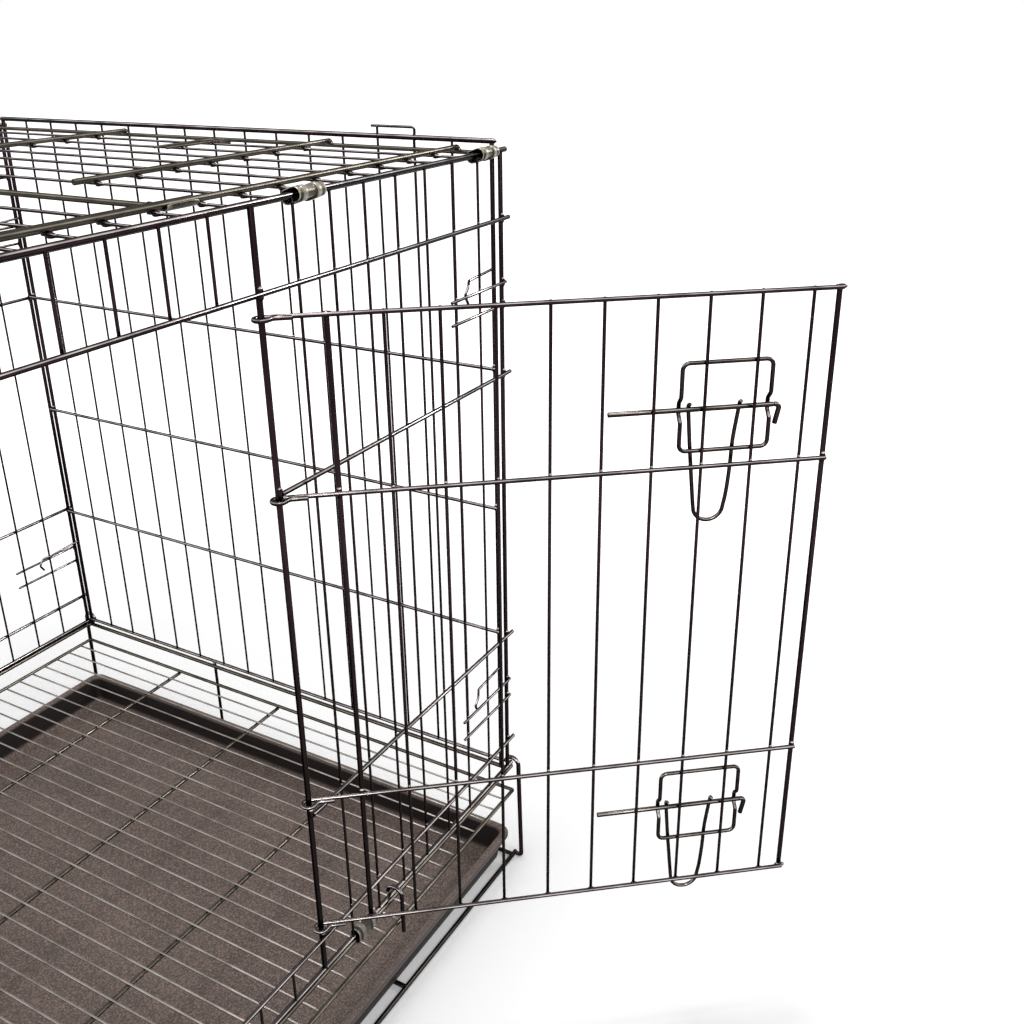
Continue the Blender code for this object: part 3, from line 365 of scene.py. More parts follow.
def coated_wire(name, dark, light, upper, bare, roughness, edge_tint):
    """Dark baked coating on steel wire with a painted highlight in patches along its upper side, thin spots
    and small chips.
    """
    material = bpy.data.materials.new(name)
    look = Look(material)
    cloud = look.noise(38.0, 3.0)
    fine = look.noise(520.0, 5.0, 0.65)
    tone = look.ramp(cloud, (0.30, dark), (0.72, light))
    tone = look.blend(look.map_range(fine, 0.40, 0.75, 0.0, 0.30), tone, light)
    # Painted highlight: the side of each wire that faces up is mixed, in patches, towards a pale highlight
    # colour
    painted_highlight_mask = look.ramp(look.upward(), (0.34, 0.0), (0.46, 1.0), (0.62, 1.0), (0.76, 0.10))
    highlight_patches = look.map_range(cloud, 0.36, 0.62, 0.40, 1.0)
    tone = look.blend(look.combine("MULTIPLY", painted_highlight_mask, highlight_patches), tone, upper)
    chips = look.ramp(look.noise(240.0, 6.0, 0.7), (0.68, 0.0), (0.74, 0.8))
    worn = look.ramp(look.edges(), (0.60, 0.0), (0.70, 0.8))
    wear = look.blend(1.0, chips, worn, "ADD")
    look.shade({
        "Base Color": look.blend(wear, tone, bare),
        "Roughness": look.map_range(fine, 0.30, 0.75, roughness - 0.05, roughness + 0.08),
        "Metallic": 1.0,
        "Specular Tint": (edge_tint,) * 3,
        "Coat Weight": 0.15,
        "Coat Roughness": 0.12,
        "Normal": look.bump(fine, 0.18, 0.0001)})
    return material


def clip_sheet(name, upper):
    """Coated sheet steel of the clips with a painted highlight on its upward-facing parts, worn to bright
    metal along its bent edges.
    """
    material = bpy.data.materials.new(name)
    look = Look(material)
    cloud = look.noise(160.0)
    fine = look.noise(1400.0, 4.0, 0.7)
    tone = look.ramp(cloud, (0.30, (0.022, 0.018, 0.014)), (0.70, (0.070, 0.060, 0.047)))
    # Painted highlight: the clip's upward-facing sheet is mixed towards a pale highlight colour
    painted_highlight_mask = look.ramp(look.upward(), (0.10, 0.0), (0.55, 0.9), (0.80, 0.9), (0.98, 0.35))
    worn = look.ramp(look.edges(), (0.52, 0.0), (0.60, 1.0))
    look.shade({
        "Base Color": look.blend(worn, look.blend(painted_highlight_mask, tone, upper), (0.62, 0.60, 0.50)),
        "Roughness": look.map_range(fine, 0.3, 0.7, 0.26, 0.46),
        "Metallic": 0.85,
        "Normal": look.bump(fine, 0.35, 0.0002)})
    return material


def tray_plastic(name):
    """Moulded brown plastic: a pebbled grain and a mottled floor, with painted shade on the walls and a
    painted highlight on the rims and convex edges.
    """
    material = bpy.data.materials.new(name)
    look = Look(material)
    cloud = look.noise(9.0, 5.0, 0.6)
    speck = look.noise(620.0, 4.0, 0.70)
    grain = look.add("ShaderNodeTexVoronoi", {"Scale": 650.0, "Vector": look.coords("Object")})
    tone = look.ramp(cloud, (0.34, (0.095, 0.072, 0.063)), (0.66, (0.225, 0.170, 0.150)))
    warm = look.ramp(speck, (0.38, (0.034, 0.040, 0.030)), (0.50, (0.130, 0.098, 0.084)),
                     (0.64, (0.420, 0.280, 0.235)))
    # Painted shade: walls and other steep faces go near-black, while the level floor keeps its tone
    level = look.map_range(look.upward(), 0.30, 0.90, 0.0, 1.0)
    tone = look.blend(level, (0.011, 0.007, 0.007), look.blend(0.72, tone, warm))
    # Painted highlight: the rim and other convex edges are mixed towards a paler brown
    painted_highlight_mask = look.ramp(look.edges(), (0.515, 0.0), (0.58, 0.7))
    pebbles = look.bump(grain.outputs["Distance"], 0.30, 0.0003)
    look.shade({
        "Base Color": look.blend(painted_highlight_mask, tone, (0.290, 0.235, 0.210)),
        "Roughness": look.map_range(speck, 0.3, 0.7, 0.48, 0.68),
        "Normal": look.bump(speck, 0.30, 0.0004, pebbles),
        "Specular IOR Level": 0.35})
    return material


# The upper colour given to each coat and clip sheet below is a painted highlight on its upward-facing side
BLACK = coated_wire("black_coat", dark=(0.0090, 0.0030, 0.0045), light=(0.0190, 0.0080, 0.0105),
                    upper=(0.780, 0.715, 0.690), bare=(0.42, 0.37, 0.34), roughness=0.20, edge_tint=0.10)
# A lit copy of the black coat for the heavy horizontal rods: its lighter olive-grey tone stands for light
# falling on them, with a painted highlight on top
LIT_OLIVE_COAT = coated_wire("lit_olive_coat", dark=(0.030, 0.025, 0.020), light=(0.062, 0.054, 0.043),
                    upper=(0.340, 0.300, 0.245), bare=(0.52, 0.48, 0.38), roughness=0.26, edge_tint=0.30)
BROWN = coated_wire("brown_coat", dark=(0.0075, 0.0040, 0.0036), light=(0.0200, 0.0125, 0.0110),
                    upper=(0.520, 0.465, 0.430), bare=(0.46, 0.43, 0.38), roughness=0.20, edge_tint=0.10)
# Grey floor grid wire; its near-white upper colour is a painted highlight
BRIGHT = coated_wire("bright_wire", dark=(0.130, 0.108, 0.100), light=(0.280, 0.240, 0.220),
                     upper=(0.980, 0.920, 0.860), bare=(0.80, 0.76, 0.68), roughness=0.30, edge_tint=0.30)
# A shaded copy of the black coat for the lower frame on the floor, with only a faint painted highlight
SHADED_COAT = coated_wire("shaded_coat", dark=(0.0090, 0.0060, 0.0055), light=(0.0200, 0.0150, 0.0140),
                    upper=(0.075, 0.062, 0.056), bare=(0.36, 0.32, 0.28), roughness=0.24, edge_tint=0.10)
SHEET = clip_sheet("clip_sheet", upper=(0.300, 0.270, 0.215))
# A shaded copy of the clip sheet for the bottom clips, with only a faint painted highlight
SHADED_SHEET = clip_sheet("shaded_clip_sheet", upper=(0.050, 0.040, 0.032))
PLASTIC = tray_plastic("tray_plastic")


def x_wire(low, high, y, z, radius):
    """Return a straight wire along X as its two end points and its radius."""
    return [Vector((low, y, z)), Vector((high, y, z))], radius


def y_wire(x, low, high, z, radius):
    return [Vector((x, low, z)), Vector((x, high, z))], radius


def z_wire(x, y, low, high, radius):
    return [Vector((x, y, low)), Vector((x, y, high))], radius


def angles(start, turn, steps):
    return [start + turn * step / steps for step in range(steps + 1)]


def round_path(points, bend):
    """Return the points of a polyline with its inner corners turned into arcs of one bend radius."""
    points = [Vector(point) for point in points]
    path = [points[0]]
    for before, corner, after in zip(points, points[1:], points[2:]):
        to_before = (before - corner).normalized()
        to_after = (after - corner).normalized()
        half = to_before.angle(to_after) / 2
        reach = bend / math.tan(half)
        middle = (to_before + to_after).normalized()
        centre = corner + middle * (bend / math.sin(half))
        begin = corner + to_before * reach - centre
        finish = corner + to_after * reach - centre
        axis = begin.cross(finish)
        turn = begin.angle(finish)
        for angle in angles(0, turn, CORNER_STEPS):
            path.append(centre + Quaternion(axis, angle) @ begin)
    path.append(points[-1])
    return path


def round_loop(points, bend):
    """Return the points of a closed polyline with every corner turned into an arc."""
    start = (Vector(points[-1]) + Vector(points[0])) / 2
    return round_path([start, *points, start], bend)[1:-1]


def smooth_path(points, steps=5):
    """Return a Catmull-Rom curve through the points."""
    points = [Vector(point) for point in points]
    padded = [points[0] * 2 - points[1]] + points + [points[-1] * 2 - points[-2]]
    path = []
    for p0, p1, p2, p3 in zip(padded, padded[1:], padded[2:], padded[3:]):
        for step in range(steps):
            t = step / steps
            bend = (p1 * 2 + (p2 - p0) * t + (p0 * 2 - p1 * 5 + p2 * 4 - p3) * t * t
                    + (p1 * 3 - p0 - p2 * 3 + p3) * t ** 3) / 2
            path.append(bend)
    path.append(points[-1])
    return path


def domed(points, radius):
    """Return the points with their radius shares, the two cut ends slightly rounded."""
    first = (points[1] - points[0]).normalized()
    last = (points[-2] - points[-1]).normalized()
    head = [(points[0] + first * radius * reach, share) for reach, share in END_DOME]
    tail = [(points[-1] + last * radius * reach, share) for reach, share in reversed(END_DOME)]
    return head + [(point, 1.0) for point in points[1:-1]] + tail


def bead(place, along, radius):
    """Return one bead of weld metal as its points with their radius shares, and its radius."""
    return [(place + along * radius * BEAD_LENGTH * reach, share) for reach, share in BEAD_SHAPE], radius


def closest(first, second):
    """Return the nearest points of two straight wires."""
    p, u = first[0], first[1] - first[0]
    q, v = second[0], second[1] - second[0]
    w = p - q
    a, b, c, d, e = u.dot(u), u.dot(v), v.dot(v), u.dot(w), v.dot(w)
    scale = a * c - b * b
    if scale < PARALLEL:
        return None
    s = (b * e - c * d) / scale
    t = (a * e - b * d) / scale
    if min(s, t) < -END_SLACK or max(s, t) > 1 + END_SLACK:
        return None
    s = min(1.0, max(0.0, s))
    t = min(1.0, max(0.0, t))
    return p + u * s, q + v * t


def weld_beads(first, second):
    """Return a small bead of weld metal wherever a wire of the first set touches one of the second."""
    beads = []
    for thin, thin_r in first:
        for thick, thick_r in second:
            near = closest((thin[0], thin[-1]), (thick[0], thick[-1]))
            if near is None:
                continue
            a, b = near
            apart = (a - b).length
            if apart > thin_r + thick_r + BEAD_REACH:
                continue
            share = thin_r / (thin_r + thick_r)
            to_end = min((a - thin[0]).length, (a - thin[-1]).length)
            along = thin[-1] - thin[0] if to_end > BEAD_LENGTH * thin_r else thick[-1] - thick[0]
            beads.append(bead(a.lerp(b, share * BEAD_PLACE), along.normalized(), BEAD_SWELL * thin_r))
    return beads


def add_spline(curve, points, unit, closed=False):
    spline = curve.splines.new("POLY")
    spline.points.add(len(points) - 1)
    for target, (point, radius) in zip(spline.points, points):
        target.co = (*point, 1.0)
        target.radius = radius / unit
    spline.use_cyclic_u = closed
    spline.use_smooth = True


def piece(name, mesh, material, body, node):
    obj = bpy.data.objects.new(name, mesh)
    bpy.context.scene.collection.objects.link(obj)
    mesh.materials.clear()
    mesh.materials.append(material)
    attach(obj, body)
    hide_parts(node)
    return obj


def wires(name, runs, body, node=None, material=BLACK, loops=(), beads=(), bevel=BEVEL):
    """Make a piece from open wires with domed ends, closed loops and weld beads, in place of a node."""
    curve = bpy.data.curves.new(f"{name}_path", "CURVE")
    curve.dimensions = "3D"
    curve.use_fill_caps = True
    curve.bevel_resolution = bevel
    curve.bevel_depth = FRAME_R
    for points, radius in runs:
        shares = domed(points, radius)
        add_spline(curve, [(point, radius * share) for point, share in shares], FRAME_R)
    for points, radius in loops:
        add_spline(curve, [(point, radius) for point in points], FRAME_R, closed=True)
    for points, radius in beads:
        add_spline(curve, [(point, radius * share) for point, share in points], FRAME_R)
    source = bpy.data.objects.new(f"{name}_source", curve)
    bpy.context.scene.collection.objects.link(source)
    graph = bpy.context.evaluated_depsgraph_get()
    mesh = bpy.data.meshes.new_from_object(source.evaluated_get(graph))
    bpy.data.objects.remove(source, do_unlink=True)
    bm = bmesh.new()
    bm.from_mesh(mesh)
    bmesh.ops.remove_doubles(bm, verts=bm.verts, dist=MERGE_DISTANCE)
    bm.to_mesh(mesh)
    bm.free()
    mesh.shade_smooth()
    piece(name, mesh, material, body, node or name)


def latch_wires(name, runs, body, loops=(), beads=()):
    wires(name, runs, body, name, BROWN, loops, beads, FINE_BEVEL)


def rectangle(half_x, half_y, z):
    return [(-half_x, -half_y, z), (half_x, -half_y, z), (half_x, half_y, z), (-half_x, half_y, z)]


def sides_of(corners, radius):
    return [([Vector(a), Vector(b)], radius) for a, b in zip(corners, corners[1:] + corners[:1])]


def join_rows(bm, rows, closed):
    """Fill the faces between rows of vertices, each row a ring where closed is set."""
    for row, after in zip(rows, rows[1:]):
        for index in range(len(row) if closed else len(row) - 1):
            follow = (index + 1) % len(row)
            bm.faces.new((row[index], row[follow], after[follow], after[index]))


def mesh_of(bm, name):
    bmesh.ops.recalc_face_normals(bm, faces=bm.faces)
    mesh = bpy.data.meshes.new(name)
    bm.to_mesh(mesh)
    bm.free()
    return mesh


def column_x(column):
    return HALF_LENGTH - column * PITCH


def row_y(row):
    return -ROW_HALF + row * PITCH


def build_long_panel(name, side):
    """Build the front or back grid; the front one leaves its door opening free."""
    plane = side * HALF_WIDTH
    thin_y = plane + side * (POST_R - THIN_R)
    front = side < 0
    uprights = []
    for column in range(COLUMNS + 1):
        x = column_x(column)
        if column in (0, COLUMNS) or (front and column in (HINGE_COLUMN, LATCH_COLUMN)):
            radius = FRAME_R if front and column == HINGE_COLUMN else POST_R
            uprights.append(z_wire(x, plane, PANEL_BOTTOM_Z, TOP_ROD_Z, radius))
        elif front and HINGE_COLUMN < column < LATCH_COLUMN:
            uprights.append(z_wire(x, thin_y, HEADER_Z - MID_R, TOP_ROD_Z, THIN_R))
            uprights.append(z_wire(x, thin_y, PANEL_BOTTOM_Z, SILL_Z + MID_R, THIN_R))
        else:
            uprights.append(z_wire(x, thin_y, PANEL_BOTTOM_Z, TOP_ROD_Z, THIN_R))
    reach = HALF_LENGTH + ROD_OVERHANG
    rods = [x_wire(-reach, reach, plane, z, FRAME_R) for z in (PANEL_BOTTOM_Z, TOP_ROD_Z)]
    rail_y = plane + side * (POST_R + MID_R - SINK)
    reach = HALF_LENGTH + RAIL_OVERHANG
    whole = (HEADER_Z, SILL_Z) if front else (HEADER_Z, UPPER_RAIL_Z, LOWER_RAIL_Z, SILL_Z)
    rails = [x_wire(-reach, reach, rail_y, z, MID_R) for z in whole]
    if front:
        for z in (UPPER_RAIL_Z, LOWER_RAIL_Z):
            rails.append(x_wire(HINGE_X, reach, rail_y, z, MID_R))
            rails.append(x_wire(-reach, LATCH_X, rail_y, z, MID_R))
    keeper_y = plane + side * (POST_R + KEEPER_R - SINK)
    outer = HALF_LENGTH + KEEPER_OVERHANG
    for hand in (-1, 1):
        for top in KEEPER_ZS:
            for z in (top, top - KEEPER_SPACING):
                rails.append(x_wire(hand * (outer - KEEPER_LENGTH), hand * outer, keeper_y, z, KEEPER_R))
    beads = weld_beads(uprights, rods + rails)
    wires(name, uprights + rods + rails, "crate", beads=beads)


def build_end_panel(name, hand):
    x = hand * HALF_LENGTH
    thin_x = x - hand * (POST_R - THIN_R)
    uprights = []
    for row in range(ROWS + 1):
        y = row_y(row)
        if row in (0, ROWS):
            uprights.append(z_wire(x, y, BASE_ROD_Z + FRAME_R + 2 * GAP, END_TOP_Z, POST_R))
        elif row not in LOOP_ROWS:
            uprights.append(z_wire(thin_x, y, END_BOTTOM_Z, END_TOP_Z, THIN_R))
    reach = ROW_HALF + END_RAIL_OVERHANG
    rail_x = x - hand * (POST_R + END_RAIL_R - SINK)
    rods = [y_wire(x, -reach, reach, END_TOP_Z, FRAME_R)]
    rods.append(y_wire(x, -reach, reach, END_BOTTOM_Z, LID_BORDER_R))
    rods += [y_wire(rail_x, -reach, reach, z, END_RAIL_R) for z in END_RAIL_ZS]
    first, last = (row_y(row) for row in LOOP_ROWS)
    turned = ((thin_x, first, END_BOTTOM_Z), (thin_x, first, END_TOP_Z), (x, first, END_TOP_Z + LOOP_KNEE),
              (x, first, LOOP_Z), (x, last + LOOP_OVERHANG, LOOP_Z))
    bent = [(round_path(turned, LOOP_BEND), LOOP_R)]
    straight = [z_wire(thin_x, last, END_BOTTOM_Z, LOOP_Z, THIN_R)]
    beads = weld_beads(uprights + straight, rods)
    wires(name, uprights + rods + bent + straight, "crate", beads=beads)


def build_spring_hooks():
    """Build the spring wire hooks that hold the end panels behind the keeper wires."""
    for end, hand in ENDS:
        for face, side in FACES:
            for level, keeper in zip(("upper", "lower"), KEEPER_ZS):
                points = []
                for inward, depth, rise in HOOK_SHAPE:
                    points.append((hand * (HALF_LENGTH - inward), side * (HALF_WIDTH - depth), keeper + rise))
                wires(f"{end}_{face}_{level}_hook", [(round_path(points, HOOK_BEND), HOOK_R)], "crate")


def lid_wire_x(index):
    return HALF_LENGTH - LID_FIRST_WIRE - index * PITCH


def lid_rod_end(x, y, away, free):
    """Return the end of a heavy lid rod; a free end curls down over the lid's end border."""
    place = Vector((x, y, LID_ROD_Z))
    if not free:
        return [place]
    return [place - Vector((away * LID_ROD_KNEE, 0, 0)), place - Vector((away * LID_ROD_TIP, 0, LID_ROD_DIP))]


def build_lid():
    far = HALF_WIDTH - LID_BORDER_SETBACK
    near = -far
    end = HALF_LENGTH - LID_END_SETBACK
    first_rod, second_rod, third_rod = (-HALF_WIDTH + y for y in LID_ROD_YS)
    thin_z = LID_ROD_Z - LID_ROD_R - THIN_R + SINK
    stub_start = HINGE_Y + TOP_DOOR_FAR - STUB_OVERLAP
    crossing = []
    for index in range(LID_WIRES):
        x = lid_wire_x(index)
        if LID_DOOR_WIRES[0] <= index <= LID_DOOR_WIRES[1]:
            crossing.append(y_wire(x, near, first_rod + STUB_OVERLAP, thin_z, THIN_R))
            crossing.append(y_wire(x, stub_start, far, thin_z, THIN_R))
        else:
            crossing.append(y_wire(x, near, far, thin_z, THIN_R))
    outline = rectangle(end, far, LID_Z)
    borders = sides_of(outline, LID_BORDER_R)
    rod_reach = HALF_LENGTH - LID_ROD_END
    right_stop = lid_wire_x(LID_DOOR_WIRES[0]) + PITCH / 2
    left_stop = lid_wire_x(LID_DOOR_WIRES[1]) - PITCH / 2
    spans = ((first_rod, -rod_reach, rod_reach), (third_rod, -rod_reach, rod_reach),
             (second_rod, right_stop, rod_reach), (second_rod, -rod_reach, left_stop))
    rods = []
    straight_rods = []
    for y, low_x, high_x in spans:
        low_end = lid_rod_end(low_x, y, -1, low_x == -rod_reach)
        high_end = lid_rod_end(high_x, y, 1, high_x == rod_reach)
        rods.append((round_path(low_end[::-1] + high_end, LID_ROD_BEND), LID_ROD_R))
        straight_rods.append(x_wire(low_x, high_x, y, LID_ROD_Z, LID_ROD_R))
    feet = []
    for wire, radius in crossing:
        for rod, _ in straight_rods:
            if wire[0].y <= rod[0].y <= wire[-1].y and rod[0].x <= wire[0].x <= rod[-1].x:
                foot = [(Vector((wire[0].x, rod[0].y + along, thin_z)), share) for along, share in WELD_FOOT]
                feet.append((foot, radius))
    beads = weld_beads(crossing, straight_rods + borders)
    wires("lid_wires", crossing, "lid", "lid_panel", beads=beads + feet)
    edge = [(round_loop(outline, LID_CORNER), LID_BORDER_R)]
    beads = weld_beads(borders[1::2], straight_rods)
    wires("lid_rods", rods, "lid", "lid_panel", LIT_OLIVE_COAT, loops=edge, beads=beads)


def build_hairpins():
    z = LID_Z + THIN_R + HAIRPIN_R + GAP
    near, far = (-HALF_WIDTH + y for y in HAIRPIN_Y)
    for half, hand in ENDS:
        inner, outer = (hand * (HALF_LENGTH - x) for x in reversed(HAIRPIN_X))
        tail = outer - hand * HAIRPIN_TAIL
        tip_z = z - HAIRPIN_DIP
        points = ((inner, near, z), (tail, near, z), (outer, near, tip_z), (outer, far, tip_z),
                  (tail, far, z), (inner, far, z))
        name = f"{half}_lid_hairpin"
        wires(name, [(round_path(points, HAIRPIN_BEND), HAIRPIN_R)], "lid", name, LIT_OLIVE_COAT)


def stadium(centre_a, centre_b, radius, steps=12):
    """Return the outline round two circles of one radius, in the (Y, Z) plane."""
    centre_a = Vector(centre_a)
    centre_b = Vector(centre_b)
    heading = math.atan2(centre_b.y - centre_a.y, centre_b.x - centre_a.x)
    outline = []
    for centre, start in ((centre_b, heading - math.pi / 2), (centre_a, heading + math.pi / 2)):
        for angle in angles(start, math.pi, steps):
            outline.append((centre.x + radius * math.cos(angle), centre.y + radius * math.sin(angle)))
    return outline


def finish_sheet(obj, offset):
    """Give a sheet its wall and its softened edges."""
    wall = obj.modifiers.new("sheet", "SOLIDIFY")
    wall.thickness = CLIP_SHEET
    wall.offset = offset
    edge = obj.modifiers.new("edge", "BEVEL")
    edge.width = SHEET_EDGE
    edge.segments = 2
    edge.limit_method = "ANGLE"
    obj.data.shade_smooth()
    obj.data.set_sharp_from_angle(angle=SHEET_SHARP)


def build_clip(name, body, material, centre_a, centre_b):
    """Roll a sheet clip round two rods: a flared mouth, two crimped collars with slanted edges and a neck."""
    low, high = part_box(name)
    bore = FRAME_R + CLIP_PLAY
    length = high.x - low.x
    bm = bmesh.new()
    rings = []
    for share, swell in CLIP_SECTIONS:
        outline = stadium(centre_a, centre_b, bore + CLIP_SHEET + swell)
        count = len(outline)
        ring = []
        for index, (y, z) in enumerate(outline):
            round_share = 0.5 - 0.5 * math.cos(math.tau * index / count)
            slant = CLIP_SLANT * round_share * (1 - abs(2 * share - 1)) ** 0.5
            x = low.x + length * share + slant * (0.5 - share)
            ring.append(bm.verts.new((min(high.x, max(low.x, x)), y, z)))
        rings.append(ring)
    join_rows(bm, rings, closed=True)
    finish_sheet(piece(name, mesh_of(bm, name), material, body, name), -1.0)


def build_clips():
    rod = (-HALF_WIDTH, TOP_ROD_Z)
    border = (-HALF_WIDTH + LID_BORDER_SETBACK, LID_Z)
    for spot in ("right_outer", "right_inner", "left_inner", "left_outer"):
        build_clip(f"lid_clip_{spot}", "lid", SHEET, rod, border)
    for face, side in FACES:
        for half in ("right", "left"):
            ends = ((side * HALF_WIDTH, BASE_ROD_Z), (side * HALF_WIDTH, PANEL_BOTTOM_Z))
            build_clip(f"{face}_{half}_bottom_clip", "crate", SHADED_SHEET, *ends)
    for half in ("right", "left"):
        build_hinge_clip(f"top_door_clip_{half}")


def build_hinge_clip(name):
    """Bend a sheet strip from behind the lid door's bar, under the heavy rod, to a lip in front of it."""
    low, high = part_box(name)
    radius = LID_ROD_R + HINGE_CLIP_ROOM
    bottom = -math.pi / 2
    profile = []
    for centre, start, finish in ((HINGE_Y + TOP_DOOR_NEAR, HINGE_CLIP_BACK, bottom),
                                  (HINGE_Y - HINGE_CLIP_OUT, bottom, HINGE_CLIP_LIP - math.tau)):
        for angle in angles(start, finish - start, HINGE_CLIP_STEPS):
            profile.append((centre + radius * math.cos(angle), LID_ROD_Z + radius * math.sin(angle)))
    bm = bmesh.new()
    rows = []
    count = len(profile) - 1
    for index, (y, z) in enumerate(profile):
        rounding = max(0.0, 1.0 - min(index, count - index) / HINGE_CLIP_CORNER_ROWS)
        inset = HINGE_CLIP_CORNER * (1.0 - math.sqrt(1.0 - rounding * rounding))
        middle = (low.x + high.x) / 2
        half = (high.x - low.x) / 2 - inset
        rows.append([bm.verts.new((middle + half * share, y, z)) for share in HINGE_CLIP_SHARES])
    join_rows(bm, rows, closed=False)
    finish_sheet(piece(name, mesh_of(bm, name), SHEET, "top_door", name), 0.0)


def build_top_door():
    near = HINGE_Y + TOP_DOOR_NEAR
    far = HINGE_Y + TOP_DOOR_FAR
    right, left = (HALF_LENGTH - x for x in TOP_DOOR_SIDE_X)
    z = LID_ROD_Z
    crossing = []
    for index in range(*LID_DOOR_WIRES):
        x = lid_wire_x(index)
        if left + PITCH / 2 < x < right - PITCH / 2:
            crossing.append(y_wire(x, near, far, z, THIN_R))
    rail_z = z + THIN_R + END_RAIL_R - SINK
    rail_y = HINGE_Y + TOP_DOOR_RAIL
    bar_right, bar_left = (HALF_LENGTH - x for x in TOP_DOOR_NEAR_X)
    rails = [x_wire(left - POST_R, right + POST_R, rail_y, rail_z, END_RAIL_R)]
    corners = ((right, near, z), (right, far, z), (left, far, z), (left, near, z))
    bent = [(round_path(corners, TOP_DOOR_CORNER), POST_R)]
    hinge_bar = [x_wire(bar_left, bar_right, near, z, POST_R)]
    borders = [x_wire(left, right, far, z, POST_R)]
    sides = [y_wire(x, near, far, z, POST_R) for x in (left, right)]
    wires("top_door_wires", crossing, "top_door", "top_door",
          beads=weld_beads(crossing, rails + borders + hinge_bar))
    cones = []
    for x, away in ((right, 1), (left, -1)):
        cone = [(Vector((x + away * along, near + across, z)), share) for along, across, share in CORNER_WELD]
        cones.append((cone, POST_R))
    wires("top_door_frame", rails + hinge_bar + bent, "top_door", "top_door", LIT_OLIVE_COAT,
          beads=weld_beads(sides, rails) + cones)


def door_point(s, n, z):
    """Return the world point at s along the open side door, n out of it, at height z."""
    along = Vector((-math.cos(DOOR_ANGLE), -math.sin(DOOR_ANGLE), 0))
    outward = Vector((math.sin(DOOR_ANGLE), -math.cos(DOOR_ANGLE), 0))
    return Vector((HINGE_X, -HALF_WIDTH, z)) + along * s + outward * n


def eye_rod_points(z, steps=18):
    """Return the path of a door rod that bends round the hinge rod and comes back to lie along itself."""
    points = [door_point(DOOR_ROD_END_S, EYE_RADIUS, z)]
    turns = angles(math.pi / 2, EYE_TURN, steps)
    for angle in turns:
        points.append(door_point(EYE_RADIUS * math.cos(angle), EYE_RADIUS * math.sin(angle), z))
    end = turns[-1]
    beside = EYE_RADIUS - 2 * DOOR_ROD_R
    rise = beside - EYE_RADIUS * math.sin(end)
    meet_s = EYE_RADIUS * math.cos(end) + rise / math.tan(end - 3 * math.pi / 2)
    back = (points[-1], door_point(meet_s, beside, z), door_point(EYE_RETURN, beside, z))
    return points + round_path(back, EYE_BEND)[1:]


def build_side_door():
    low = DOOR_ROD_ZS[-1] - DOOR_WIRE_OVERHANG
    high = DOOR_ROD_ZS[0] + DOOR_WIRE_OVERHANG
    uprights = []
    for index in range(1, DOOR_WIRES + 1):
        s = DOOR_FIRST_S + index * DOOR_PITCH
        radius, n = (POST_R, DOOR_THICK_N) if index == 1 else (DOOR_THIN_R, DOOR_THIN_N)
        uprights.append(([door_point(s, n, z) for z in (low, high)], radius))
    uprights.append(([door_point(DOOR_EDGE_S, DOOR_THICK_N, z) for z in (low, high)], POST_R))
    rods = [(eye_rod_points(z), DOOR_ROD_R) for z in DOOR_ROD_ZS]
    spans = [[door_point(s, EYE_RADIUS, z) for s in (0, DOOR_ROD_END_S)] for z in DOOR_ROD_ZS]
    straight = [(span, DOOR_ROD_R) for span in spans]
    wires("side_door", uprights + rods, "side_door", beads=weld_beads(uprights, straight))


def latch_levels(surface_n):
    """Return how far out the bolt, the latch frame, its bowed sides and the handle lie."""
    bolt = surface_n + BOLT_SEAT + BOLT_R
    flat = surface_n + LATCH_FRAME_R - SINK
    bow = bolt + BOLT_R + GAP + LATCH_FRAME_R
    handle = flat + LATCH_FRAME_R + HANDLE_STANDOFF + HANDLE_R
    return bolt, flat, bow, handle


def latch_frame_path(point, bolt_t, flat_n, bow_n, shift):
    """Return a closed rounded rectangle whose two sides bow outward over the bolt."""
    left, right = (s + shift for s in LATCH_FRAME_S)
    high = bolt_t + LATCH_FRAME_UP
    low = bolt_t - LATCH_FRAME_DOWN
    corner = LATCH_FRAME_CORNER
    slope_t = (bow_n - flat_n) * BOW_SLOPE
    points = []
    for s, sign in ((left, -1), (right, 1)):
        inner = s - sign * corner
        side = []
        for angle in angles(0, math.pi / 2, CORNER_STEPS):
            bent_s = inner + sign * corner * math.sin(angle)
            side.append((bent_s, low + corner * (1 - math.cos(angle)), flat_n))
        for step in range(-BOW_STEPS, BOW_STEPS + 1):
            t = step / BOW_STEPS
            lift = min(1.0, max(0.0, BOW_EASE - abs(t) * BOW_EASE))
            rise = lift * lift * (3 - 2 * lift)
            side.append((s, bolt_t + t * (BOW_HALF + slope_t), flat_n + (bow_n - flat_n) * rise))
        for angle in angles(0, math.pi / 2, CORNER_STEPS):
            bent_s = inner + sign * corner * math.cos(angle)
            side.append((bent_s, high - corner * (1 - math.sin(angle)), flat_n))
        points += side if sign > 0 else side[::-1]
    return [point(s, n, t) for s, t, n in points]


def handle_path(point, bolt_t, bolt_n, handle_n, shift):
    """Return a tapering U handle, its legs welded to the bolt's top and hanging down its outer side."""
    reach = BOLT_R + HANDLE_R + HANDLE_PLAY
    legs = []
    for spots in (HANDLE_LEFT, HANDLE_RIGHT):
        top_s = spots[0][1] + shift
        leg = []
        for angle in reversed(angles(0, HANDLE_HOOK_START, CORNER_STEPS)):
            leg.append((top_s, bolt_t + reach * math.sin(angle), bolt_n + reach * math.cos(angle)))
        for drop, s in spots[1:]:
            leg.append((s + shift, bolt_t - drop, handle_n))
        legs.append(leg)
    left_s, right_s = legs[0][-1][0], legs[1][-1][0]
    middle = (left_s + right_s) / 2
    half = (right_s - left_s) / 2
    drop = HANDLE_LEFT[-1][0]
    curve = []
    for angle in angles(0, math.pi, CORNER_STEPS)[1:-1]:
        depth = (HANDLE_DROP - drop) * math.sin(angle)
        curve.append((middle - half * math.cos(angle), bolt_t - drop - depth, handle_n))
    return smooth_path([point(s, n, t) for s, t, n in legs[0] + curve + legs[1][::-1]], 4)


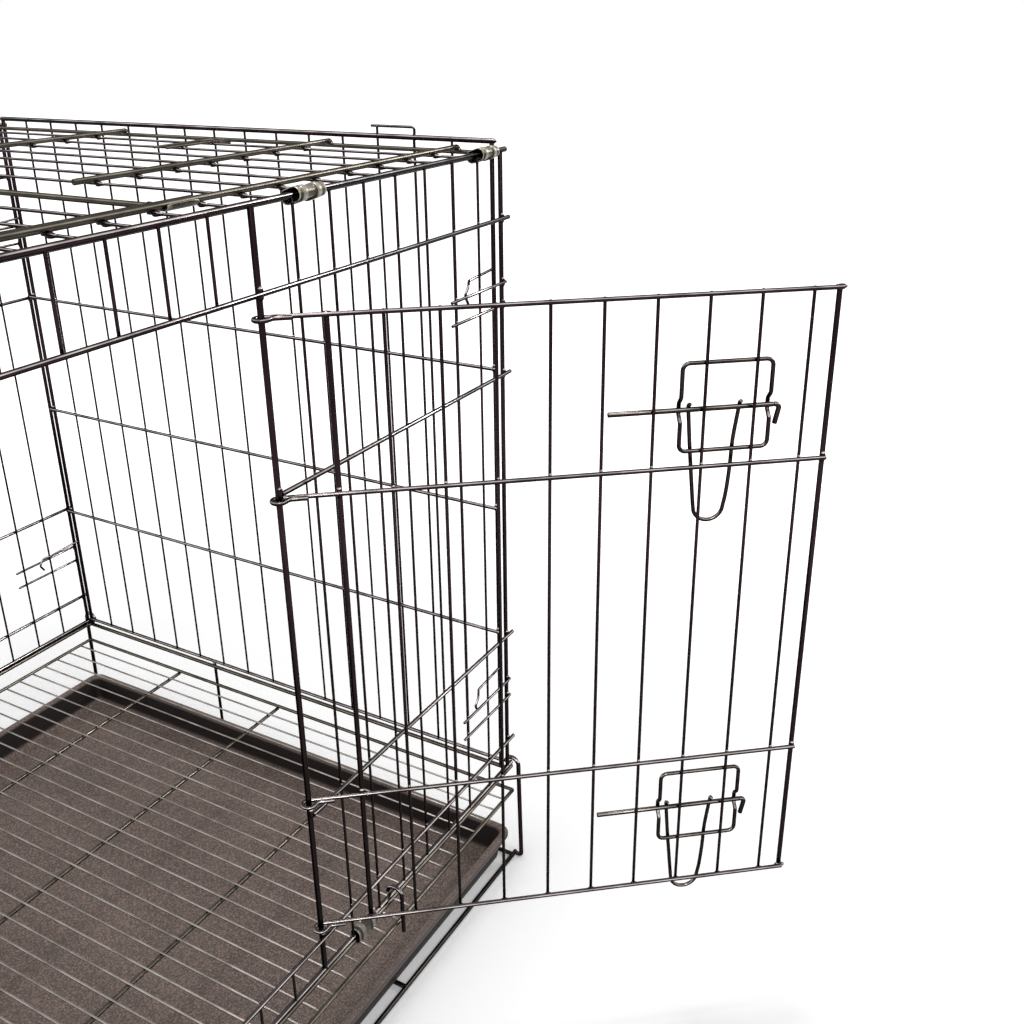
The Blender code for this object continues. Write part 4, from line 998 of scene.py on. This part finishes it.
def build_side_latches():
    bolt_n, flat_n, bow_n, handle_n = latch_levels(DOOR_SURFACE_N)
    for level, bolt_z in BOLT_ZS.items():
        frame_loop = latch_frame_path(door_point, bolt_z, flat_n, bow_n, 0.0)
        latch_wires(f"{level}_latch_frame", [], "side_door", loops=[(frame_loop, LATCH_FRAME_R)])
        ends = [door_point(s, bolt_n, bolt_z) for s in (BOLT_START_S, BOLT_END_S)]
        latch_wires(f"{level}_bolt", [(ends, BOLT_R)], f"{level}_bolt")
        handle = handle_path(door_point, bolt_z, bolt_n, handle_n, 0.0)
        latch_wires(f"{level}_latch_handle", [(handle, HANDLE_R)], f"{level}_handle")
        corner_s = BOLT_END_S + GAP + BOLT_TIP_BEND + BOLT_TIP_LEAD
        tip = (door_point(BOLT_END_S + SINK, bolt_n, bolt_z), door_point(corner_s, bolt_n, bolt_z),
               door_point(corner_s - BOLT_TIP_LEAN, bolt_n, bolt_z - BOLT_TIP_DROP))
        latch_wires(f"{level}_bolt_tip", [(round_path(tip, BOLT_TIP_BEND), BOLT_R)], f"{level}_handle")


def build_side_catches():
    root_x = LATCH_X + POST_R - SINK
    x = HINGE_X - CATCH_S
    plane = -HALF_WIDTH
    out = plane - CATCH_OUT
    for level, bolt_z in BOLT_ZS.items():
        high = bolt_z + CATCH_UP
        low = bolt_z - CATCH_DOWN
        points = ((root_x, plane, high), (x, plane, high), (x, out, high),
                  (x, out, low), (x, plane, low), (root_x, plane, low))
        feet = [bead(Vector((root_x, plane, z)), UP, CATCH_R) for z in (low, high)]
        latch_wires(f"{level}_catch", [(round_path(points, CATCH_BEND), CATCH_R)], "crate", beads=feet)


def lid_door_point(s, n, t):
    """Return the world point at s from the lid door's hinge, n above its wires, t along X."""
    return Vector((t, HINGE_Y + s, LID_ROD_Z + n))


def build_top_latch():
    bolt_x = HALF_LENGTH - TOP_BOLT_X
    _, flat_n, _, handle_n = latch_levels(THIN_R)
    bolt_n = LID_ROD_R + GAP + BOLT_R * SOLID_CORNER
    bow_n = bolt_n + BOLT_R + GAP + LATCH_FRAME_R
    shift = TOP_DOOR_FAR - DOOR_EDGE_S
    frame_loop = latch_frame_path(lid_door_point, bolt_x, flat_n, bow_n, shift)
    latch_wires("top_latch_frame", [], "top_door", loops=[(frame_loop, LATCH_FRAME_R)])
    ends = [lid_door_point(s, bolt_n, bolt_x) for s in (BOLT_START_S + shift, TOP_DOOR_FAR + TOP_BOLT_TIP)]
    latch_wires("top_bolt", [(ends, BOLT_R)], "top_bolt")
    handle = handle_path(lid_door_point, bolt_x, bolt_n, handle_n, shift)
    latch_wires("top_latch_handle", [(handle, HANDLE_R)], "top_handle")
    y = -HALF_WIDTH + LID_ROD_YS[2]
    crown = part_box("top_catch")[1].z - CATCH_R
    foot = LID_ROD_Z + LID_ROD_R - SINK
    low_x = bolt_x - TOP_CATCH_HALF
    high_x = bolt_x + TOP_CATCH_HALF
    points = ((low_x, y, foot), (low_x, y, crown), (high_x, y, crown), (high_x, y, foot))
    feet = [bead(Vector((x, y, foot)), ALONG_X, CATCH_R) for x in (low_x, high_x)]
    latch_wires("top_catch", [(round_path(points, TOP_CATCH_BEND), CATCH_R)], "lid", beads=feet)


def build_base_rods():
    reach = HALF_LENGTH + ROD_OVERHANG
    for face, side in FACES:
        rod = x_wire(-reach, reach, side * HALF_WIDTH, BASE_ROD_Z, FRAME_R)
        wires(f"base_{face}_rod", [rod], "crate", material=LIT_OLIVE_COAT)
    end_y = HALF_WIDTH - FRAME_R
    for end, hand in ENDS:
        x = hand * (HALF_LENGTH + BASE_END_OFFSET)
        feet = [bead(Vector((x, y, BASE_ROD_Z)), ALONG_X, FRAME_R) for y in (-end_y, end_y)]
        rod = y_wire(x, -end_y, end_y, BASE_ROD_Z, FRAME_R)
        wires(f"base_{end}_rod", [rod], "crate", material=LIT_OLIVE_COAT, beads=feet)


def build_floor_grid():
    border = HALF_WIDTH + GRID_BORDER_OUT
    end = HALF_LENGTH + BASE_END_OFFSET
    z = FLOOR_GRID_Z
    thin = []
    x = HALF_LENGTH - GRID_WIRE_START
    while x > -end + GRID_WIRE_SPACING / 2:
        thin.append(y_wire(x, -border, border, z, GRID_WIRE_R))
        x -= GRID_WIRE_SPACING
    borders = sides_of(rectangle(end, border, z), GRID_BORDER_R)
    rod_z = z - GRID_WIRE_R - GRID_ROD_R + SINK
    rods = [x_wire(-end, end, y - HALF_WIDTH, rod_z, GRID_ROD_R) for y in GRID_ROD_YS]
    beads = weld_beads(thin, rods + borders[::2])
    wires("floor_grid_wires", thin, "crate", "floor_grid", BRIGHT, beads=beads)
    wires("floor_grid_rods", borders + rods, "crate", "floor_grid", LIT_OLIVE_COAT)


def build_lower_frame():
    z = FRAME_R
    y = HALF_WIDTH + LOWER_ROD_OUT
    end = HALF_LENGTH + BASE_END_OFFSET
    reach = HALF_LENGTH + ROD_OVERHANG
    long_rods = [x_wire(-reach, reach, side * y, z, FRAME_R) for side in (-1, 1)]
    places = [-end, end] + [HALF_LENGTH - x for x in CROSSBAR_XS]
    bars = [y_wire(x, -y, y, z, FRAME_R) for x in places]
    wires("lower_frame", bars + long_rods, "crate", "lower_frame", SHADED_COAT)


def hook_points(x, side, steps=14):
    """Return an arc over the panel's bottom rod, from inside to outside."""
    radius = (HOOK_IN + HOOK_OUT) / 2
    centre = HALF_WIDTH + (HOOK_OUT - HOOK_IN) / 2
    points = []
    for angle in angles(0, math.pi, steps):
        y = centre - radius * math.cos(angle)
        points.append(Vector((x, side * y, PANEL_BOTTOM_Z + radius * math.sin(angle))))
    return points


def build_legs():
    outer_y = HALF_WIDTH + HOOK_OUT
    foot_y = outer_y + LEG_SPLAY
    tip_y = HALF_WIDTH + LOWER_ROD_OUT + FRAME_R
    for end, hand in ENDS:
        for face, side in FACES:
            x = hand * (HALF_LENGTH + LEG_X_OUT)
            lower = ((x, side * outer_y, PANEL_BOTTOM_Z), (x, side * foot_y, LEG_R), (x, side * tip_y, LEG_R))
            path = hook_points(x, side) + round_path(lower, LEG_BEND)[1:]
            wires(f"{end}_{face}_leg", [(path, LEG_R)], "crate")


def build_uprights():
    for half, hand in ENDS:
        x = hand * (HALF_LENGTH - UPRIGHT_X)
        for face, side in FACES:
            end = Vector((x, side * (HALF_WIDTH + HOOK_OUT), UPRIGHT_BOTTOM_Z))
            wires(f"{face}_{half}_upright", [(hook_points(x, side) + [end], UPRIGHT_R)], "crate")
        outer = HALF_LENGTH + BASE_END_OFFSET + FRAME_R + UPRIGHT_R - SINK
        y = -HALF_WIDTH + END_UPRIGHT_Y
        upright = z_wire(hand * outer, y, GAP, BASE_ROD_Z + FRAME_R, UPRIGHT_R)
        weld_x = hand * (outer - UPRIGHT_R)
        beads = [bead(Vector((weld_x, y, z)), UP, UPRIGHT_R) for z in (2 * FRAME_R, BASE_ROD_Z)]
        wires(f"{half}_end_upright", [upright], "crate", beads=beads)


def rounded_ring(bm, half_x, half_y, corner, z, steps=8):
    ring = []
    for sign_x, sign_y, start in ((1, 1, 0), (-1, 1, 90), (-1, -1, 180), (1, -1, 270)):
        centre_x = sign_x * (half_x - corner)
        centre_y = sign_y * (half_y - corner)
        for degrees in angles(start, 90, steps):
            angle = math.radians(degrees)
            place = (centre_x + corner * math.cos(angle), centre_y + corner * math.sin(angle), z)
            ring.append(bm.verts.new(place))
    return ring


def build_tray():
    """Loft the pan from rounded rings: turned-down rim, rolled top edge, drafted wall, fillet and floor."""
    low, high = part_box("tray")
    bottom = low.z
    top = high.z
    floor = bottom + TRAY_WALL
    # Inset from the outer edge, height and corner radius of each ring
    profile = (
        (0.0280, bottom, 0.0060), (0.0122, bottom, 0.0070), (0.0104, bottom + 0.0012, 0.0075),
        (0.0098, bottom + 0.0030, 0.0080), (0.0072, top - 0.0050, 0.0095), (0.0064, top - 0.0034, 0.0100),
        (0.0052, top - 0.0026, 0.0110), (0.0026, top - 0.0026, 0.0125), (0.0018, top - 0.0036, 0.0130),
        (0.0016, top - 0.0062, 0.0130), (0.0004, top - 0.0062, 0.0135), (0.0000, top - 0.0050, 0.0135),
        (0.0000, top - 0.0020, 0.0135), (0.0006, top - 0.0006, 0.0132), (0.0018, top, 0.0128),
        (0.0046, top, 0.0105), (0.0066, top - 0.0004, 0.0095), (0.0080, top - 0.0016, 0.0085),
        (0.0088, top - 0.0036, 0.0080), (0.0112, bottom + 0.0080, 0.0070), (0.0120, floor + 0.0028, 0.0065),
        (0.0136, floor + 0.0008, 0.0060), (0.0162, floor, 0.0055), (0.0290, floor, 0.0050),
        (0.0306, floor + 0.0005, 0.0050), (0.0340, floor + 0.0005, 0.0050))
    bm = bmesh.new()
    rings = [rounded_ring(bm, high.x - inset, high.y - inset, corner, z) for inset, z, corner in profile]
    join_rows(bm, rings, closed=True)
    bm.faces.new(rings[0][::-1])
    bm.faces.new(rings[-1])
    mesh = mesh_of(bm, "tray")
    mesh.shade_smooth()
    mesh.set_sharp_from_angle(angle=TRAY_SHARP)
    piece("tray_pan", mesh, PLASTIC, "tray", "tray")


def build_crate():
    build_long_panel("front_panel", -1)
    build_long_panel("back_panel", 1)
    build_end_panel("right_end_panel", 1)
    build_end_panel("left_end_panel", -1)
    build_spring_hooks()
    build_lid()
    build_hairpins()
    build_clips()
    build_top_door()
    build_top_latch()
    build_side_door()
    build_side_latches()
    build_side_catches()
    build_base_rods()
    build_floor_grid()
    build_lower_frame()
    build_legs()
    build_uprights()
    build_tray()


# Studio
FLOOR_SIZE = 24.0
FLOOR_NEAR = 0.75
FLOOR_FAR = 1.60
FLOOR_LIFT = 0.22
FLOOR_DROP = 0.0002
FLOOR_LIT = (0.60, 0.60, 0.60)
FLOOR_SEEN = (0.95, 0.95, 0.95)
WORLD_LIGHT = 0.38
CAMERA_PLACE = (-0.3667, -0.7833, 0.8359)
CAMERA_YAW = 1.0381
CAMERA_PITCH = 0.4016
CAMERA_ROLL = -0.017
CAMERA_LENS = 39.197
CAMERA_SHIFT = (0.0200, -0.0261)

# Each lamp's name, place, target, side and power
LAMPS = (("overhead", (0.3, -0.2, 3.4), (0.1, 0, 0.3), 0.55, 42),
         ("front_left", (-2.4, -2.6, 2.2), (0, 0, 0.4), 0.7, 16),
         ("right_side", (2.6, -1.6, 1.6), (0, 0, 0.4), 0.6, 18))


def build_floor():
    """Lay a pale floor that keeps the shadow and runs out to plain white."""
    bpy.ops.mesh.primitive_plane_add(size=FLOOR_SIZE, location=(0, 0, -FLOOR_DROP))
    floor = bpy.context.object
    floor.name = "studio_floor"
    material = bpy.data.materials.new("pale_floor")
    look = Look(material)
    seen = look.seen_directly()
    reach = look.add("ShaderNodeVectorMath", {0: look.coords("Object")})
    reach.operation = "LENGTH"
    lift = look.map_range(reach.outputs["Value"], FLOOR_NEAR, FLOOR_FAR, FLOOR_LIFT, 1.0)
    look.shade({
        "Base Color": look.blend(seen, FLOOR_LIT, FLOOR_SEEN),
        "Roughness": 0.9,
        "Specular IOR Level": 0.0,
        "Emission Color": (1, 1, 1),
        "Emission Strength": look.combine("MULTIPLY", lift, seen)})
    floor.data.materials.append(material)


def build_world():
    world = bpy.data.worlds.new("studio_world")
    bpy.context.scene.world = world
    look = Look(world)
    strength = look.map_range(look.seen_directly(), 0.0, 1.0, WORLD_LIGHT, 1.0)
    look.fill(look.nodes["Background"], {"Color": (1, 1, 1), "Strength": strength})


def add_softbox(name, place, target, side, power):
    data = bpy.data.lights.new(name, "AREA")
    data.size = side
    data.energy = power
    lamp = bpy.data.objects.new(name, data)
    bpy.context.scene.collection.objects.link(lamp)
    lamp.location = place
    lamp.rotation_euler = (Vector(target) - Vector(place)).to_track_quat("-Z", "Y").to_euler()


def build_camera():
    flat = math.cos(CAMERA_PITCH)
    ahead = Vector((math.sin(CAMERA_YAW) * flat, math.cos(CAMERA_YAW) * flat, -math.sin(CAMERA_PITCH)))
    level = Vector((math.cos(CAMERA_YAW), -math.sin(CAMERA_YAW), 0))
    upward = level.cross(ahead)
    right = level * math.cos(CAMERA_ROLL) + upward * math.sin(CAMERA_ROLL)
    top = upward * math.cos(CAMERA_ROLL) - level * math.sin(CAMERA_ROLL)
    data = bpy.data.cameras.new("camera")
    data.lens = CAMERA_LENS
    data.sensor_width = 36.0
    data.shift_x, data.shift_y = CAMERA_SHIFT
    data.clip_start = 0.02
    camera = bpy.data.objects.new("camera", data)
    bpy.context.scene.collection.objects.link(camera)
    turn = Matrix((right, top, -ahead)).transposed().to_4x4()
    camera.matrix_world = Matrix.Translation(CAMERA_PLACE) @ turn
    bpy.context.scene.camera = camera


def build_studio():
    build_floor()
    build_world()
    for lamp in LAMPS:
        add_softbox(*lamp)
    build_camera()
    bpy.context.scene.view_settings.view_transform = "Standard"


build_crate()
build_studio()
